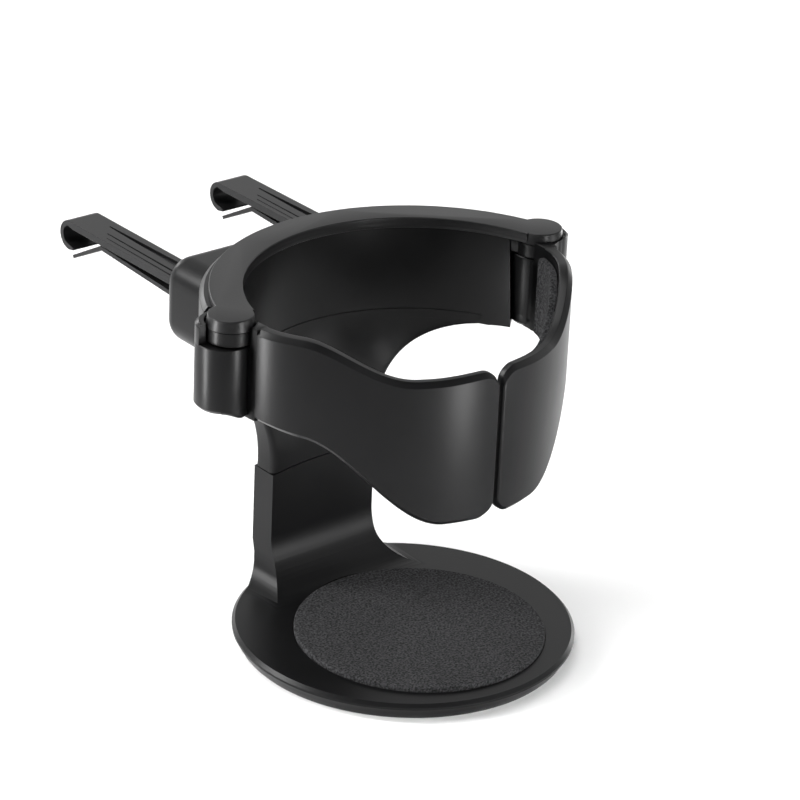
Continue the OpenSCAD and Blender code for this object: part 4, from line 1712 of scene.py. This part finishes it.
@dataclass(frozen=True)
class Camera:
    """The camera that was fitted to the photograph.

    Attributes:
        azimuth: direction in degrees; 0 looks along +Y.
        elevation: height above the horizon in degrees.
        roll: roll in degrees.
        distance: distance from the target.
        target: height of the target on the Z axis.
        scale: pixels per millimetre at the target.
        centre: pixel where the target shows.
        width: width of the picture in pixels.
    """

    azimuth: float = -40.427
    elevation: float = 25.815
    roll: float = 2.782
    distance: float = 0.8
    target: float = 0.045
    scale: float = 4.7403
    centre: Flat = (411.7, 449.2)
    width: float = 800.0

    def build(self) -> None:
        """Sets up the camera."""
        a, e, r = (math.radians(v) for v in (self.azimuth, self.elevation, self.roll))
        back = Vector((math.sin(a) * math.cos(e), -math.cos(a) * math.cos(e), math.sin(e)))
        right = Vector((math.cos(a), math.sin(a), 0.0))
        up = back.cross(right)
        turned_right = right * math.cos(r) + up * math.sin(r)
        turned_up = up * math.cos(r) - right * math.sin(r)
        data = bpy.data.cameras.new("camera")
        data.sensor_width = 36.0
        focal_px = self.scale * self.distance / MM
        data.lens = focal_px * data.sensor_width / self.width
        data.shift_x = (self.width / 2 - self.centre[0]) / self.width
        data.shift_y = (self.centre[1] - self.width / 2) / self.width
        data.clip_start, data.clip_end = 0.05, 50.0
        camera = bpy.data.objects.new("camera", data)
        rows = Matrix((turned_right, turned_up, back)).transposed()
        place = Vector((0, 0, self.target)) + back * self.distance
        camera.matrix_world = Matrix.Translation(place) @ rows.to_4x4()
        bpy.context.scene.collection.objects.link(camera)
        bpy.context.scene.camera = camera


def seen_rays(tree: Tree) -> Field:
    """Gives 1 for the rays that show the surroundings, seen straight, mirrored or through glass, else 0.

    Args:
        tree: tree that the nodes go in.

    Returns:
        The field.
    """
    path = tree.node("ShaderNodeLightPath")
    seen = Field(tree, path.outputs["Is Camera Ray"]) + Field(tree, path.outputs["Is Glossy Ray"])
    return (seen + Field(tree, path.outputs["Is Transmission Ray"])).clamped()


@dataclass(frozen=True)
class Studio:
    """White surroundings under a dark ceiling, a pale floor and soft lamps.

    Attributes:
        floor_colour: colour of the floor.
        floor_glow: what the floor adds where it is seen or mirrored.
        fill: brightness of the surroundings as a light.
        ceiling: brightness of the ceiling where it is seen or mirrored.
        walls_top: elevation in degrees up to which the surroundings are white.
        ceiling_from: elevation from which they are as dark as the ceiling.
        floor_half: half the floor's side, in millimetres.
        lamps: the softboxes.
    """

    floor_colour: float = 0.86
    floor_glow: float = 0.12
    fill: float = 0.16
    ceiling: float = 0.04
    walls_top: float = 48
    ceiling_from: float = 66
    floor_half: float = 3000.0
    lamps: tuple[Softbox, ...] = (
        Softbox("top_box", (-0.1, 0.4, 1.4), (0.9, 0.9), 14.0),
        Softbox("back_left_box", (-0.58, 0.6, 0.6), (0.3, 0.5), 9.0),
        Softbox("back_strip", (0.08, 1.1, 0.25), (0.25, 0.2), 1.3),
        Softbox("front_right_box", (0.55, -1.35, 0.5), (0.35, 0.9), 1.0),
        Softbox("left_strip", (-1.1, -0.1, 0.35), (0.08, 0.7), 1.6),
        Softbox("barrel_card", (0.012, -0.19, 0.045), (0.03, 0.09), 0.3, (-0.03, 0.0, 0.045)),
        Softbox("leaf_card", (-0.178, 0.056, 0.045), (0.022, 0.09), 0.32, (-0.04, 0.0, 0.045)),
        Softbox("tip_card", (0.17, -0.24, 0.05), (0.1, 0.1), 0.2, (0.0, 0.0, 0.05)),
        Softbox("side_card", (0.3, 0.06, 0.05), (0.1, 0.1), 0.18, (0.03, 0.0, 0.05)),
    )

    def build(self) -> None:
        """Sets up the world, the floor and the lamps."""
        world = bpy.data.worlds.new("studio")
        bpy.context.scene.world = world
        world.use_nodes = True
        tree = Tree(world.node_tree)
        seen = seen_rays(tree)
        way = tree.field("ShaderNodeTexCoord", out="Generated")
        height = tree.field("ShaderNodeSeparateXYZ", {0: way}, out="Z")
        bounds = (math.sin(math.radians(v)) for v in (self.walls_top, self.ceiling_from))
        walls = height.ramp(*bounds, 1.0, self.ceiling)
        level = seen * walls + (1.0 - seen) * self.fill
        shade = level.tint(BLACK, WHITE)
        background = tree.node("ShaderNodeBackground", {"Color": shade, "Strength": 1.0})
        tree.node("ShaderNodeOutputWorld", {"Surface": background.outputs[0]})
        low, high = -self.floor_half, self.floor_half
        corners = [(low, low, 0), (high, low, 0), (high, high, 0), (low, high, 0)]
        floor = mesh_piece("floor", corners, [(0, 1, 2, 3)])
        material, floor_tree, shader = fresh_material("floor")
        constants = {"Base Color": (*[self.floor_colour] * 3, 1.0), "Roughness": 0.75,
                     "Specular IOR Level": 0.1, "Emission Strength": 1.0}
        for name, value in constants.items():
            floor_tree.feed(shader.inputs[name], value)
        glow = seen_rays(floor_tree) * self.floor_glow
        floor_tree.feed(shader.inputs["Emission Color"], glow.tint(BLACK, WHITE))
        floor.data.materials.append(material)
        floor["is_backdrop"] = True
        for lamp in self.lamps:
            lamp.build()
        bpy.context.scene.view_settings.view_transform = "Standard"


def main() -> None:
    """Dresses the frame and sets up the studio."""
    logging.basicConfig(level=logging.INFO, format="%(name)s: %(message)s")
    materials = {key: finish.build() for key, finish in FINISHES.items()}
    for carried in CARRIED:
        carried.dress(materials)
    for side in (-1, 1):
        ClampArm(side).build(materials)
    RingBody().build(materials)
    ClipHousing().build(materials)
    TopCover().build(materials)
    BasePad().build(materials)
    Camera().build()
    Studio().build()
    bpy.context.view_layer.update()
    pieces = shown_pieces()
    for piece in pieces:
        LOG.info("piece %s, %d vertices", piece.name, len(piece.data.vertices))
    LOG.info("%d pieces", len(pieces))


if __name__ == "__main__":
    main()
